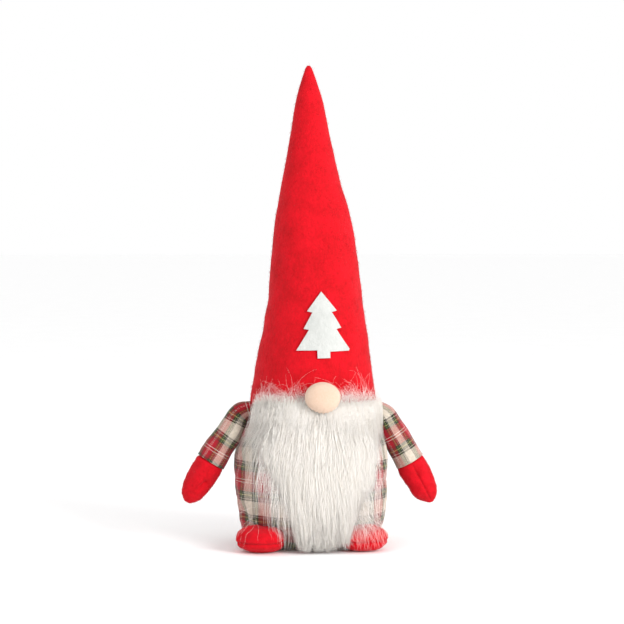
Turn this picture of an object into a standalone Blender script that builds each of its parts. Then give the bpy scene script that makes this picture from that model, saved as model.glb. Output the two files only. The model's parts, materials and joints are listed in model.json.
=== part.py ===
"""Tomte gnome: a stuffed cloth figure with a tall felt hat, a fur beard, two arms and two feet.

Metres, +Z up. The figure faces -Y and stands on its base panel at Z = 0.
Left and right are the figure's own, so its left is at +X.
"""

import math

import bmesh
import bpy
from mathutils import Matrix, Vector

# The body's axis stands a little behind the origin, so the origin is the middle of the whole figure.
BODY_Y = 0.0095
BODY_TOP = 0.176
BODY_DEPTH_RATIO = 0.82
BODY_OUTLINE = (
    (0.000, 0.0585), (0.005, 0.0645), (0.019, 0.0710), (0.040, 0.0752), (0.062, 0.0765), (0.082, 0.0757),
    (0.100, 0.0730), (0.116, 0.0672), (0.130, 0.0590), (0.143, 0.0515), (0.156, 0.0420), (0.168, 0.0280),
    (BODY_TOP, 0.0110),
)

BRIM_Z = 0.143
HAT_TOP = 0.4805
HAT_DEPTH_RATIO = 0.94
HAT_OUTLINE = (
    (BRIM_Z, 0.0635), (0.183, 0.0578), (0.219, 0.0520), (0.247, 0.0475), (0.285, 0.0430), (0.331, 0.0365),
    (0.363, 0.0292), (0.411, 0.0196), (0.445, 0.0135), (0.466, 0.0072), (0.477, 0.0034),
)
HAT_SWAY = ((BRIM_Z, 0.0020), (0.243, 0.0048), (0.363, 0.0005), (HAT_TOP, -0.0025))

CLOTH = 0.0015
SLEEVE_CLOTH = 0.0012
NOSE_CLOTH = 0.0008
FELT = 0.0015
GAP = 0.0004
SEAM_GAP = 0.0010
# How far inside a shell's outer face its stuffing starts.
STUFFING_INSET = 0.0026
# Faces that meet at more than this angle are shaded with a sharp edge.
SHARP_ANGLE = math.radians(50)
BODY_LEVELS = 14

# The hat leans about its brim, and the hollow in its stuffing stays clear of the body's top as it does.
HAT_PIVOT = Vector((0.0020, BODY_Y, BRIM_Z))
HAT_LEVELS = 15
HAT_STUFFING_LOW = 0.160
HAT_STUFFING_HIGH = 0.462
HAT_HOLLOW_STEPS = 4
HAT_HOLLOW_ARC = math.radians(68)
HAT_HOLLOW_WIDTH = 1.10
HAT_HOLLOW_RISE = 1.22

SHOULDER_Z = {"right": 0.128, "left": 0.127}
SHOULDER_X = {"right": -0.0758, "left": 0.0772}
ARM_ANGLE = {"right": math.radians(30.5), "left": math.radians(28)}
ARM_DEPTH_RATIO = 0.9
SHOULDER_RADIUS = 0.0115
CUFF = 0.051
# Half widths along the arm, measured from the shoulder's pivot towards the hand.
ARM_OUTLINE = ((0.000, SHOULDER_RADIUS), (0.012, 0.0122), (0.030, 0.0138), (CUFF, 0.0148), (0.066, 0.0152),
               (0.078, 0.0138), (0.087, 0.0105), (0.0935, 0.0064), (0.0965, 0.0030))
# Each half of a mitten and where its half turn starts. The right one's seams are at its sides, and the left one's at
# its front and back.
MITTEN_HALVES = {
    "right": (("front", math.pi), ("back", 0.0)),
    "left": (("outer", -math.pi / 2), ("inner", math.pi / 2)),
}
ARM_STUFFING_NEAR = 0.012
ARM_STUFFING_FAR = 0.092
SLEEVE_DOME_ARC = math.radians(75)
TAB_RADIUS = 0.0085
TAB_THICKNESS = 0.0018

FOOT_X = {"right": -0.0545, "left": 0.0465}
FOOT_FRONT = 0.073
FOOT_HALF_WIDTH = 0.0250
FOOT_HALF_DEPTH = 0.0245
FOOT_HEIGHT = 0.0255
FOOT_SEAM_Z = 0.0105
FOOT_SPLAY = math.radians(12)
FOOT_TILT = math.radians(30)
# Under 1, this power makes the foot's sides fuller than an ellipse's.
FOOT_FULLNESS = 0.62
FOOT_SEAM_BAND = 0.0020
FOOT_STUFFING_INSET = 0.0024
FOOT_CLEARANCE = 0.0009
# Where each foot is sewn to the body, which is the line that it tilts about.
FOOT_HINGE = {"right": Vector((-0.0545, -0.0290, 0.0240)), "left": Vector((0.0465, -0.0356, 0.0240))}

NOSE_CENTRE = Vector((0.0042, BODY_Y - 0.0697, 0.1530))
NOSE_HALF_WIDTH = 0.0175
NOSE_HALF_HEIGHT = 0.0150
NOSE_HALF_DEPTH = 0.0110
NOSE_OPENING = math.radians(62)
NOSE_CORE_SIZE = 0.88
NOSE_CORE_OPENING = math.radians(60)
NOSE_CORE_BACK = 0.0085
# The last ring before a ball's closed pole is this far round from its widest ring.
BALL_POLE_ARC = math.pi / 2 - 0.25

TREE_CENTRE = Vector((0.0060, BODY_Y, 0.2230))
TREE_THICKNESS = 0.0018
TREE_GAP = 0.0007
TREE_TILT = math.radians(1.5)
TREE_REACH = 0.042
TREE_CUTTER_FRONT = -0.070
TREE_CUTTER_DEPTH = 0.040
# Half of the fir tree, from its top down to its trunk.
TREE_HALF = ((0.0, 0.0325), (0.0140, 0.0135), (0.0090, 0.0122), (0.0180, -0.0035), (0.0130, -0.0046),
             (0.0255, -0.0245), (0.0060, -0.0245), (0.0060, -0.0325))

BEARD_TOP = 0.131
BEARD_X = -0.0020
BACKING_FOOT = 0.022
BACKING_THICKNESS = 0.0012
BACKING_CLEARANCE = 0.0018
FUR_GAP = 0.0019
# The beard hangs from the middle of its top edge.
BEARD_PIVOT = Vector((BEARD_X, -0.0395, BEARD_TOP))
# Below this height the beard hangs straight down, clear of the body as it narrows.
BEARD_STRAIGHT_BELOW = 0.062
BEARD_COLUMNS = 12
BACKING_ROWS = 14
FUR_ROWS = 15
# How much thinner the fur is at its sides than in its middle.
FUR_SIDE_THINNING = 0.75
# Half widths of the backing and of the fur on it, from the foot up.
BACKING_EDGE = ((BACKING_FOOT, 0.019), (0.040, 0.022), (0.054, 0.030), (0.066, 0.056), (0.098, 0.063),
                (0.112, 0.056), (0.122, 0.041), (0.128, 0.027), (BEARD_TOP, 0.013))
FUR_FOOT = 0.004
FUR_TOP = 0.1295
FUR_EDGE = ((FUR_FOOT, 0.014), (0.020, 0.021), (0.050, 0.024), (0.060, 0.046), (0.072, 0.062), (0.098, 0.066),
            (0.112, 0.058), (0.122, 0.042), (0.1265, 0.028), (FUR_TOP, 0.013))
FUR_DEPTH = ((FUR_FOOT, 0.0070), (0.020, 0.0130), (0.060, 0.0160), (0.090, 0.0140), (0.112, 0.0080),
             (FUR_TOP, 0.0016))

BASE_HALF_WIDTH = 0.0560
BASE_THICKNESS = 0.0016
BOARD_HALF_WIDTH = 0.0520
BOARD_BOTTOM = 0.0020
BOARD_THICKNESS = 0.0020
BAG_BOTTOM = BOARD_BOTTOM + BOARD_THICKNESS + GAP
BAG_CLOTH = 0.0009
# The hollow for the bag goes this far past the bag's bottom and its tied top.
BAG_HOLLOW_REACH = 0.0020
BAG_OUTLINE = ((0.0, 0.030), (0.004, 0.038), (0.014, 0.042), (0.026, 0.037), (0.034, 0.023), (0.039, 0.009),
               (0.043, 0.006), (0.047, 0.008))
PELLETS_OUTLINE = ((0.0014, 0.0285), (0.005, 0.0360), (0.014, 0.0400), (0.024, 0.0350), (0.029, 0.0230))

MATERIALS = {
    "tartan": ((0.80, 0.74, 0.66), 0.90),
    "base_cloth": ((0.78, 0.73, 0.66), 0.90),
    "red_felt": ((0.72, 0.012, 0.030), 0.95),
    "white_felt": ((0.88, 0.88, 0.85), 0.95),
    "fur": ((0.90, 0.88, 0.85), 0.85),
    "backing": ((0.82, 0.80, 0.76), 0.90),
    "jersey": ((0.88, 0.60, 0.45), 0.85),
    "stuffing": ((0.93, 0.93, 0.92), 0.95),
    "card": ((0.56, 0.44, 0.31), 0.85),
    "calico": ((0.80, 0.76, 0.68), 0.90),
    "pellets": ((0.86, 0.86, 0.84), 0.50),
}


def clear_scene():
    for thing in list(bpy.data.objects):
        bpy.data.objects.remove(thing, do_unlink=True)


def make_collection(name):
    made = bpy.data.collections.new(name)
    bpy.context.scene.collection.children.link(made)
    return made


def make_materials():
    for name, (colour, roughness) in MATERIALS.items():
        material = bpy.data.materials.new(name)
        material.use_nodes = True
        shader = material.node_tree.nodes["Principled BSDF"]
        shader.inputs["Base Color"].default_value = (*colour, 1.0)
        shader.inputs["Roughness"].default_value = roughness
        shader.inputs["Metallic"].default_value = 0.0


def curve_value(points, at):
    """Smooth curve through (place, value) points, in rising order of place, read at one place."""
    places = [place for place, _ in points]
    values = [value for _, value in points]
    at = min(max(at, places[0]), places[-1])
    slopes = [(values[i + 1] - values[i]) / (places[i + 1] - places[i]) for i in range(len(points) - 1)]
    tangents = [slopes[0]] + [(a + b) / 2 for a, b in zip(slopes, slopes[1:])] + [slopes[-1]]
    i = max(k for k in range(len(points) - 1) if places[k] <= at)
    span = places[i + 1] - places[i]
    t = (at - places[i]) / span
    return (
        values[i] * (1 + 2 * t) * (1 - t) ** 2
        + tangents[i] * span * t * (1 - t) ** 2
        + values[i + 1] * t * t * (3 - 2 * t)
        + tangents[i + 1] * span * t * t * (t - 1)
    )


def body_half_width(z):
    return curve_value(BODY_OUTLINE, z)


def hat_centre(z):
    return Vector((curve_value(HAT_SWAY, z), BODY_Y, z))


def body_centre(z):
    return Vector((0.0, BODY_Y, z))


def on_axis(z):
    return Vector((0.0, 0.0, z))


def sampled(outline, low, high, count):
    """(height, half width) at even heights along an outline."""
    heights = [low + (high - low) * i / (count - 1) for i in range(count)]
    return [(z, curve_value(outline, z)) for z in heights]


def inset(profile, distance):
    """The profile moved inwards along its own normals."""
    moved = []
    for i, (z, half_width) in enumerate(profile):
        before = profile[max(i - 1, 0)]
        after = profile[min(i + 1, len(profile) - 1)]
        along = Vector((after[1] - before[1], after[0] - before[0])).normalized()
        moved.append((z + along.x * distance, half_width - along.y * distance))
    return moved


def rings(profile, ratio, centre):
    """(centre, half width, half depth) of each level of a profile."""
    return [(centre(z), half_width, half_width * ratio) for z, half_width in profile]


def add_pivot(name, place, figure):
    """An empty on a joint's axis, for the pieces that move with it."""
    pivot = bpy.data.objects.new(name, None)
    pivot.location = place
    figure.objects.link(pivot)
    return pivot


def hang_on(pivot, *pieces):
    """Parents the pieces to the pivot and leaves each one where it is."""
    for piece in pieces:
        piece.parent = pivot
        piece.matrix_parent_inverse = Matrix.Translation(-pivot.location)


def add_object(name, bm, slot, collection):
    mesh = bpy.data.meshes.new(name)
    bm.to_mesh(mesh)
    bm.free()
    made = bpy.data.objects.new(name, mesh)
    collection.objects.link(made)
    mesh.materials.append(bpy.data.materials[slot])
    mesh.shade_smooth()
    mesh.set_sharp_from_angle(angle=SHARP_ANGLE)
    return made


def arc_angles(half_depth, start, turn, steps):
    """Angles along one ring. A part turn starts and ends half a seam gap short, at every size of ring."""
    if turn >= math.tau:
        return [start + turn * k / steps for k in range(steps)]
    short = math.asin(min(SEAM_GAP / 2 / half_depth, 0.5))
    return [start + short + (turn - 2 * short) * k / steps for k in range(steps + 1)]


def ring_point(centre, half_width, half_depth, angle):
    return centre + Vector((half_width * math.cos(angle), half_depth * math.sin(angle), 0.0))


def loft(levels, start=0.0, turn=math.tau, steps=24, low_pole=None, high_pole=None):
    """Faces through elliptical rings, in rising order, over all or part of a turn.

    An end with a pole is closed by a fan, and an end without one is left open.
    """
    bm = bmesh.new()
    rows = []
    for centre, half_width, half_depth in levels:
        angles = arc_angles(half_depth, start, turn, steps)
        rows.append([bm.verts.new(ring_point(centre, half_width, half_depth, angle)) for angle in angles])
    closed = turn >= math.tau
    spans = range(steps)
    for low, high in zip(rows, rows[1:]):
        for k in spans:
            after = (k + 1) % steps if closed else k + 1
            bm.faces.new((low[k], low[after], high[after], high[k]))
    for pole, row, upper in ((low_pole, rows[0], False), (high_pole, rows[-1], True)):
        if pole is None:
            continue
        end = bm.verts.new(pole)
        for k in spans:
            after = (k + 1) % steps if closed else k + 1
            corners = (row[k], row[after], end)
            bm.faces.new(corners if upper else corners[::-1])
    return bm


def add_solidify(thing, thickness):
    wall = thing.modifiers.new("Wall", "SOLIDIFY")
    wall.thickness = thickness
    wall.offset = -1
    return thing


def add_boolean(thing, cutter, operation="DIFFERENCE"):
    cut = thing.modifiers.new("Cut", "BOOLEAN")
    cut.operation = operation
    cut.solver = "EXACT"
    cut.object = cutter
    return thing


def add_cutter(name, bm, cutters):
    cutter = add_object(name, bm, "stuffing", cutters)
    cutter.hide_render = True
    cutter.display_type = "WIRE"
    return cutter


def make_body_panels(figure):
    levels = rings(sampled(BODY_OUTLINE, 0.0, BODY_TOP, BODY_LEVELS), BODY_DEPTH_RATIO, body_centre)
    for name, start in (("body_front_panel", math.pi), ("body_back_panel", 0.0)):
        panel = add_object(name, loft(levels, start, math.pi, 12), "tartan", figure)
        add_solidify(panel, CLOTH)


def oval_disc(name, half_width, bottom, thickness, slot, figure):
    middle = Matrix.Translation((0.0, BODY_Y, bottom + thickness / 2))
    bm = bmesh.new()
    bmesh.ops.create_cone(
        bm, cap_ends=True, segments=32, radius1=half_width, radius2=half_width, depth=thickness,
        matrix=middle @ Matrix.Diagonal((1, BODY_DEPTH_RATIO, 1, 1)),
    )
    return add_object(name, bm, slot, figure)


def bag_rings(outline, grown=0.0):
    return [
        (body_centre(BAG_BOTTOM + z), half_width + grown, (half_width + grown) * BODY_DEPTH_RATIO)
        for z, half_width in outline
    ]


def make_base(figure):
    oval_disc("base_panel", BASE_HALF_WIDTH, 0.0, BASE_THICKNESS, "base_cloth", figure)
    oval_disc("base_board", BOARD_HALF_WIDTH, BOARD_BOTTOM, BOARD_THICKNESS, "card", figure)
    cloth = loft(bag_rings(BAG_OUTLINE), steps=20, low_pole=body_centre(BAG_BOTTOM))
    add_solidify(add_object("ballast_bag", cloth, "calico", figure), BAG_CLOTH)
    levels = bag_rings(PELLETS_OUTLINE)
    bottom = levels[0][0]
    top = levels[-1][0] + Vector((0.0, 0.0, 0.002))
    add_object("ballast_pellets", loft(levels, steps=20, low_pole=bottom, high_pole=top), "pellets", figure)


def make_body_stuffing(figure, cutters):
    """Fills the body down to the board, with a hollow under it that holds the ballast bag."""
    outline = inset(sampled(BODY_OUTLINE, 0.0, BODY_TOP, BODY_LEVELS), STUFFING_INSET)
    floor = BAG_BOTTOM + GAP
    levels = [(z, half_width) for z, half_width in outline if z > floor + 0.003]
    levels.insert(0, (floor, body_half_width(floor) - 2 * STUFFING_INSET))
    filling = rings(levels, BODY_DEPTH_RATIO, body_centre)
    bottom = filling[0][0]
    top = filling[-1][0] + Vector((0.0, 0.0, 0.001))
    stuffing = add_object("body_stuffing", loft(filling, low_pole=bottom, high_pole=top), "stuffing", figure)
    hollow = bag_rings(BAG_OUTLINE, GAP)
    bag_top = BAG_BOTTOM + BAG_OUTLINE[-1][0]
    hollow.insert(0, (body_centre(BAG_BOTTOM - BAG_HOLLOW_REACH), hollow[0][1], hollow[0][2]))
    hollow.append((body_centre(bag_top + BAG_HOLLOW_REACH), hollow[-1][1], hollow[-1][2]))
    space = loft(hollow, steps=20, low_pole=hollow[0][0], high_pole=hollow[-1][0])
    add_boolean(stuffing, add_cutter("bag_hollow", space, cutters))


def make_hat(figure):
    outline = sampled(HAT_OUTLINE, BRIM_Z, HAT_OUTLINE[-1][0], HAT_LEVELS)
    levels = rings(outline, HAT_DEPTH_RATIO, hat_centre)
    shell = add_object("hat_shell", loft(levels, steps=24, high_pole=hat_centre(HAT_TOP)), "red_felt", figure)
    return add_solidify(shell, FELT)


def make_hat_stuffing(figure):
    """Fills the cone above the body's top, with a hollow underside."""
    rise = (BODY_TOP - BRIM_Z) * HAT_HOLLOW_RISE
    reach = body_half_width(BRIM_Z) * HAT_HOLLOW_WIDTH
    hollow = []
    for step in range(HAT_HOLLOW_STEPS):
        angle = HAT_HOLLOW_ARC * step / (HAT_HOLLOW_STEPS - 1)
        hollow.append((BRIM_Z + rise * math.cos(angle), reach * math.sin(angle)))
    wall = inset(sampled(HAT_OUTLINE, HAT_STUFFING_LOW, HAT_STUFFING_HIGH, 13), STUFFING_INSET)
    levels = rings(hollow[1:] + wall, HAT_DEPTH_RATIO, hat_centre)
    bottom = hat_centre(hollow[0][0])
    top = hat_centre(wall[-1][0] + 0.003)
    return add_object("hat_stuffing", loft(levels, low_pole=bottom, high_pole=top), "stuffing", figure)


def tree_outline():
    """The fir tree's corners, tilted a little, going once around."""
    mirrored = [(-x, z) for x, z in reversed(TREE_HALF[1:])]
    turned = Matrix.Rotation(TREE_TILT, 2)
    return [turned @ Vector(corner) for corner in (*TREE_HALF, *mirrored)]


def make_tree(figure, cutters):
    """A felt sheet that follows the hat's cone, cut to the fir tree's outline."""
    bm = bmesh.new()
    corners = [
        bm.verts.new(TREE_CENTRE + Vector((corner.x, TREE_CUTTER_FRONT, corner.y)))
        for corner in tree_outline()
    ]
    face = bm.faces.new(corners)
    moved = bmesh.ops.extrude_face_region(bm, geom=[face])["geom"]
    back = [part for part in moved if isinstance(part, bmesh.types.BMVert)]
    bmesh.ops.translate(bm, vec=(0.0, TREE_CUTTER_DEPTH, 0.0), verts=back)
    bmesh.ops.recalc_face_normals(bm, faces=bm.faces)
    cutter = add_cutter("tree_outline", bm, cutters)
    outside = sampled(HAT_OUTLINE, TREE_CENTRE.z - TREE_REACH, TREE_CENTRE.z + TREE_REACH, 9)
    levels = rings(inset(outside, -TREE_GAP - TREE_THICKNESS), HAT_DEPTH_RATIO, hat_centre)
    tree = add_object("tree_applique", loft(levels, steps=56), "white_felt", figure)
    add_solidify(tree, TREE_THICKNESS)
    return add_boolean(tree, cutter, "INTERSECT")


def ball_levels(size, opening, count):
    """Rings of a flattened ball, from near its closed pole at -Z up to its opening at +Z."""
    tallness = NOSE_HALF_HEIGHT / NOSE_HALF_WIDTH
    made = []
    for k in range(count):
        angle = (BALL_POLE_ARC + opening) * k / (count - 1) - BALL_POLE_ARC
        half_width = math.cos(angle) * NOSE_HALF_WIDTH * size
        made.append((on_axis(math.sin(angle) * NOSE_HALF_DEPTH * size), half_width, half_width * tallness))
    return made


def make_nose(figure):
    """A ball of knitted cloth over a soft core. Its gathered opening faces the hat."""
    towards_hat = Matrix.Translation(NOSE_CENTRE) @ Matrix.Rotation(math.radians(-90), 4, "X")
    cloth = loft(ball_levels(1.0, NOSE_OPENING, 8), steps=20, low_pole=on_axis(-NOSE_HALF_DEPTH))
    cover = add_object("nose_cover", cloth, "jersey", figure)
    cover.matrix_world = towards_hat
    add_solidify(cover, NOSE_CLOTH)
    filling = loft(
        ball_levels(NOSE_CORE_SIZE, NOSE_CORE_OPENING, 7), steps=16,
        low_pole=on_axis(-NOSE_HALF_DEPTH * NOSE_CORE_SIZE), high_pole=on_axis(NOSE_CORE_BACK),
    )
    core = add_object("nose_core", filling, "stuffing", figure)
    core.matrix_world = towards_hat


def beard_ground(z):
    """Half width and half depth of the surface that the beard lies on."""
    half_width = body_half_width(max(z, BEARD_STRAIGHT_BELOW)) + BACKING_CLEARANCE / BODY_DEPTH_RATIO
    return half_width, half_width * BODY_DEPTH_RATIO


def beard_point(z, across, edge, out):
    """A point on the beard. across goes from -1 to 1, and out is the distance in front of the ground."""
    half_width, half_depth = beard_ground(z)
    centre_x = BEARD_X * (FUR_TOP - z) / FUR_TOP * 2
    angle = math.asin(min(edge / half_width, 0.98)) * across
    surface = Vector(((half_width + out) * math.sin(angle), -(half_depth + out) * math.cos(angle), z))
    return surface + Vector((centre_x, BODY_Y, 0.0))


def slab(back, front):
    """A closed solid between two grids of points with the same layout."""
    bm = bmesh.new()
    grids = [[[bm.verts.new(point) for point in row] for row in grid] for grid in (back, front)]
    high = len(back) - 1
    wide = len(back[0]) - 1
    for grid, flipped in ((grids[0], True), (grids[1], False)):
        for i in range(high):
            for k in range(wide):
                corners = (grid[i][k], grid[i][k + 1], grid[i + 1][k + 1], grid[i + 1][k])
                bm.faces.new(corners[::-1] if flipped else corners)
    around = [(0, k) for k in range(wide)] + [(i, wide) for i in range(high)]
    around += [(high, k) for k in range(wide, 0, -1)] + [(i, 0) for i in range(high, 0, -1)]
    for (i, k), (j, m) in zip(around, around[1:] + around[:1]):
        bm.faces.new((grids[0][i][k], grids[0][j][m], grids[1][j][m], grids[1][i][k]))
    bmesh.ops.recalc_face_normals(bm, faces=bm.faces)
    return bm


def beard_grid(low, high, rows, edge, out):
    """Rows of points across the beard, from low to high.

    edge holds its half widths, and out(z, across) is how far it stands in front of the ground.
    """
    columns = [-1 + 2 * k / BEARD_COLUMNS for k in range(BEARD_COLUMNS + 1)]
    heights = [low + (high - low) * i / rows for i in range(rows + 1)]
    return [
        [beard_point(z, across, curve_value(edge, z), out(z, across)) for across in columns]
        for z in heights
    ]


def flat_at(distance):
    """An out function for beard_grid that is the same all over."""
    return lambda z, across: distance


def fur_front(z, across):
    fullness = 1 - FUR_SIDE_THINNING * across**4
    return BACKING_THICKNESS + FUR_GAP + curve_value(FUR_DEPTH, z) * fullness


def make_beard(figure):
    """The cloth backing, and on it one solid of the outer shape of the long fur."""
    backing = [
        beard_grid(BACKING_FOOT, BEARD_TOP, BACKING_ROWS, BACKING_EDGE, flat_at(distance))
        for distance in (0.0, BACKING_THICKNESS)
    ]
    inner = beard_grid(FUR_FOOT, FUR_TOP, FUR_ROWS, FUR_EDGE, flat_at(BACKING_THICKNESS + FUR_GAP))
    outer = beard_grid(FUR_FOOT, FUR_TOP, FUR_ROWS, FUR_EDGE, fur_front)
    return [
        add_object("beard_backing", slab(*backing), "backing", figure),
        add_object("beard_fur", slab(inner, outer), "fur", figure),
    ]


def arm_matrix(side):
    """Places the arm's own frame, whose hand is down at -Z, at the shoulder."""
    sign = -1 if side == "right" else 1
    place = Matrix.Translation((SHOULDER_X[side], BODY_Y, SHOULDER_Z[side]))
    return place @ Matrix.Rotation(-sign * ARM_ANGLE[side], 4, "Y")


def arm_profile(near, far, count):
    """Levels of the arm from its far end up to its near end, in the arm's frame."""
    made = []
    for k in range(count):
        along = far + (near - far) * k / (count - 1)
        made.append((-along, curve_value(ARM_OUTLINE, along)))
    return made


def shoulder_dome(radius, count):
    """Levels of the round top of the sleeve above the pivot."""
    angles = [SLEEVE_DOME_ARC * (k + 1) / count for k in range(count)]
    return [(math.sin(a) * radius, math.cos(a) * radius) for a in angles]


def make_arm(side, figure):
    """A tartan sleeve, a mitten in two halves, their stuffing, and the tab that the arm turns on."""
    matrix = arm_matrix(side)

    def place(name, bm, slot):
        made = add_object(name, bm, slot, figure)
        made.matrix_world = matrix
        return made

    sleeve = arm_profile(0.0, CUFF, 6) + shoulder_dome(SHOULDER_RADIUS, 3)
    sleeve_rings = rings(sleeve, ARM_DEPTH_RATIO, on_axis)
    top = on_axis(SHOULDER_RADIUS)
    add_solidify(place(f"{side}_sleeve", loft(sleeve_rings, steps=16, high_pole=top), "tartan"), SLEEVE_CLOTH)

    mitten = rings(arm_profile(CUFF + GAP, ARM_OUTLINE[-1][0], 7), ARM_DEPTH_RATIO, on_axis)
    for name, start in MITTEN_HALVES[side]:
        half = loft(mitten, start, math.pi, 8)
        add_solidify(place(f"{side}_mitten_{name}", half, "red_felt"), FELT)

    filling = inset(arm_profile(ARM_STUFFING_NEAR, ARM_STUFFING_FAR, 9), STUFFING_INSET)
    levels = rings(filling, ARM_DEPTH_RATIO, on_axis)
    low = levels[0][0] - Vector((0.0, 0.0, 0.0015))
    place(f"{side}_arm_stuffing", loft(levels, steps=14, low_pole=low, high_pole=levels[-1][0]), "stuffing")

    bm = bmesh.new()
    bmesh.ops.create_cone(
        bm, cap_ends=True, segments=16, radius1=TAB_RADIUS, radius2=TAB_RADIUS, depth=TAB_THICKNESS,
        matrix=Matrix.Rotation(math.radians(90), 4, "X"),
    )
    place(f"{side}_shoulder_tab", bm, "calico")


def foot_levels(inward=0.0):
    """Rings of the foot, from its rounded bottom up to its domed top, all smaller by inward."""
    half_height = FOOT_HEIGHT / 2
    made = []
    for k in range(1, 10):
        angle = -math.pi / 2 + math.pi * k / 10
        size = math.cos(angle) ** FOOT_FULLNESS
        z = half_height + (half_height - inward) * math.sin(angle)
        made.append((on_axis(z), FOOT_HALF_WIDTH * size - inward, FOOT_HALF_DEPTH * size - inward))
    return made


def tilted_cutter(side, body_cutter, cutters):
    """The body's outside as the foot meets it when the foot is tilted fully up."""
    tilted = bpy.data.objects.new(f"{side}_tilted_hollow", body_cutter.data)
    cutters.objects.link(tilted)
    hinge = Matrix.Translation(FOOT_HINGE[side])
    tilted.matrix_world = hinge @ Matrix.Rotation(FOOT_TILT, 4, "X") @ hinge.inverted()
    tilted.hide_render = True
    tilted.display_type = "WIRE"
    return tilted


def foot_shell_levels():
    """(sole, upper): the foot's rings below and above its seam, each with an upright band along it."""
    levels = foot_levels()
    full = (FOOT_HALF_WIDTH, FOOT_HALF_DEPTH)
    near_seam = FOOT_SEAM_BAND + 0.001
    sole = [level for level in levels if level[0].z < FOOT_SEAM_Z - near_seam]
    sole += [(on_axis(FOOT_SEAM_Z - down), *full) for down in (FOOT_SEAM_BAND, 0.0)]
    upper = [(on_axis(FOOT_SEAM_Z + GAP + up), *full) for up in (0.0, FOOT_SEAM_BAND)]
    upper += [level for level in levels if level[0].z > FOOT_SEAM_Z + near_seam]
    return sole, upper


def make_foot(side, figure, cutters, body_cutter):
    """A felt sole and upper over stuffing, cut clear of the body with the foot down and tilted up."""
    tilted = tilted_cutter(side, body_cutter, cutters)
    centre = Vector((FOOT_X[side], BODY_Y - FOOT_FRONT + FOOT_HALF_DEPTH, 0.0))
    splay = -FOOT_SPLAY if side == "right" else FOOT_SPLAY
    turn = Matrix.Translation(centre) @ Matrix.Rotation(splay, 4, "Z")

    def place(name, bm, slot):
        made = add_object(name, bm, slot, figure)
        made.matrix_world = turn
        return made

    lower, upper = foot_shell_levels()
    sole = place(f"{side}_foot_sole", loft(lower, steps=20, low_pole=on_axis(0.0)), "red_felt")
    top = place(f"{side}_foot_upper", loft(upper, steps=20, high_pole=on_axis(FOOT_HEIGHT)), "red_felt")
    for shell in (sole, top):
        add_solidify(shell, FELT)
    inner = foot_levels(FOOT_STUFFING_INSET)
    filling = loft(inner, steps=16, low_pole=inner[0][0], high_pole=inner[-1][0] + on_axis(GAP))
    stuffing = place(f"{side}_foot_stuffing", filling, "stuffing")
    for piece in (sole, top, stuffing):
        add_boolean(piece, body_cutter)
        add_boolean(piece, tilted)
    hang_on(add_pivot(f"{side}_foot_pivot", FOOT_HINGE[side], figure), sole, top, stuffing)


def make_body_cutter(cutters):
    """The body's outside, grown by the clearance that the feet keep to it."""
    below = -0.002
    high = 0.080
    grown = inset(sampled(BODY_OUTLINE, 0.0, high, 9), -FOOT_CLEARANCE)
    levels = rings([(below, grown[0][1])] + grown, BODY_DEPTH_RATIO, body_centre)
    solid = loft(levels, steps=40, low_pole=body_centre(below), high_pole=body_centre(high + 0.002))
    return add_cutter("foot_hollow", solid, cutters)


def main():
    clear_scene()
    figure = make_collection("tomte_gnome")
    cutters = make_collection("cutters")
    make_materials()
    make_body_panels(figure)
    make_base(figure)
    make_body_stuffing(figure, cutters)
    hat = (make_hat(figure), make_hat_stuffing(figure), make_tree(figure, cutters))
    hang_on(add_pivot("hat_pivot", HAT_PIVOT, figure), *hat)
    make_nose(figure)
    hang_on(add_pivot("beard_pivot", BEARD_PIVOT, figure), *make_beard(figure))
    body_cutter = make_body_cutter(cutters)
    for side in ("right", "left"):
        make_arm(side, figure)
        make_foot(side, figure, cutters, body_cutter)


main()
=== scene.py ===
"""The looks of a tomte gnome: a stuffed cloth figure with a felt hat, a fur beard, two arms and two feet.

Metres, +Z up. The figure faces -Y and stands at Z = 0. Left and right are its own, so its left is at +X.
"""

import json
import math

import bmesh
import bpy
import numpy as np
from mathutils import Matrix, Vector


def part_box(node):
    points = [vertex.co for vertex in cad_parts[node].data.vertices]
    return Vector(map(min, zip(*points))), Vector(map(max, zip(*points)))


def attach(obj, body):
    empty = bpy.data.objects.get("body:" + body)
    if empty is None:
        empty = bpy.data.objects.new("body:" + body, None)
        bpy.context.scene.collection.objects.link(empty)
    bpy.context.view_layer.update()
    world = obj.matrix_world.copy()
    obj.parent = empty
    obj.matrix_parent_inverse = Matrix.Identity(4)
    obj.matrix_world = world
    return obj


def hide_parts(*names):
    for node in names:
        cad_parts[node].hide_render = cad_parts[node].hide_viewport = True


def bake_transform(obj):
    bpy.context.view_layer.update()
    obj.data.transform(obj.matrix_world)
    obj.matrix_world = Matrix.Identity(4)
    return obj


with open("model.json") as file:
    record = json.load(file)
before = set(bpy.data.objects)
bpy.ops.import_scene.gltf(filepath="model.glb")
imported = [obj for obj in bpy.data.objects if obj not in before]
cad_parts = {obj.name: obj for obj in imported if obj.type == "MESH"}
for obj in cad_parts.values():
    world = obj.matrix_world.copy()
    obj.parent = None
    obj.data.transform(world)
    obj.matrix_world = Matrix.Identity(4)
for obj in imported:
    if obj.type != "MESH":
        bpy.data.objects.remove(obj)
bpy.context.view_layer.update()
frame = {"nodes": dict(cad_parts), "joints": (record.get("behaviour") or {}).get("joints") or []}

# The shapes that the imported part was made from.
BODY_Y = 0.0095
BODY_TOP = 0.176
BODY_DEPTH_RATIO = 0.82
BODY_OUTLINE = (
    (0.000, 0.0585), (0.005, 0.0645), (0.019, 0.0710), (0.040, 0.0752), (0.062, 0.0765), (0.082, 0.0757),
    (0.100, 0.0730), (0.116, 0.0672), (0.130, 0.0590), (0.143, 0.0515), (0.156, 0.0420), (0.168, 0.0280),
    (BODY_TOP, 0.0110),
)
BRIM_Z = 0.143
HAT_TOP = 0.4805
HAT_DEPTH_RATIO = 0.94
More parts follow.
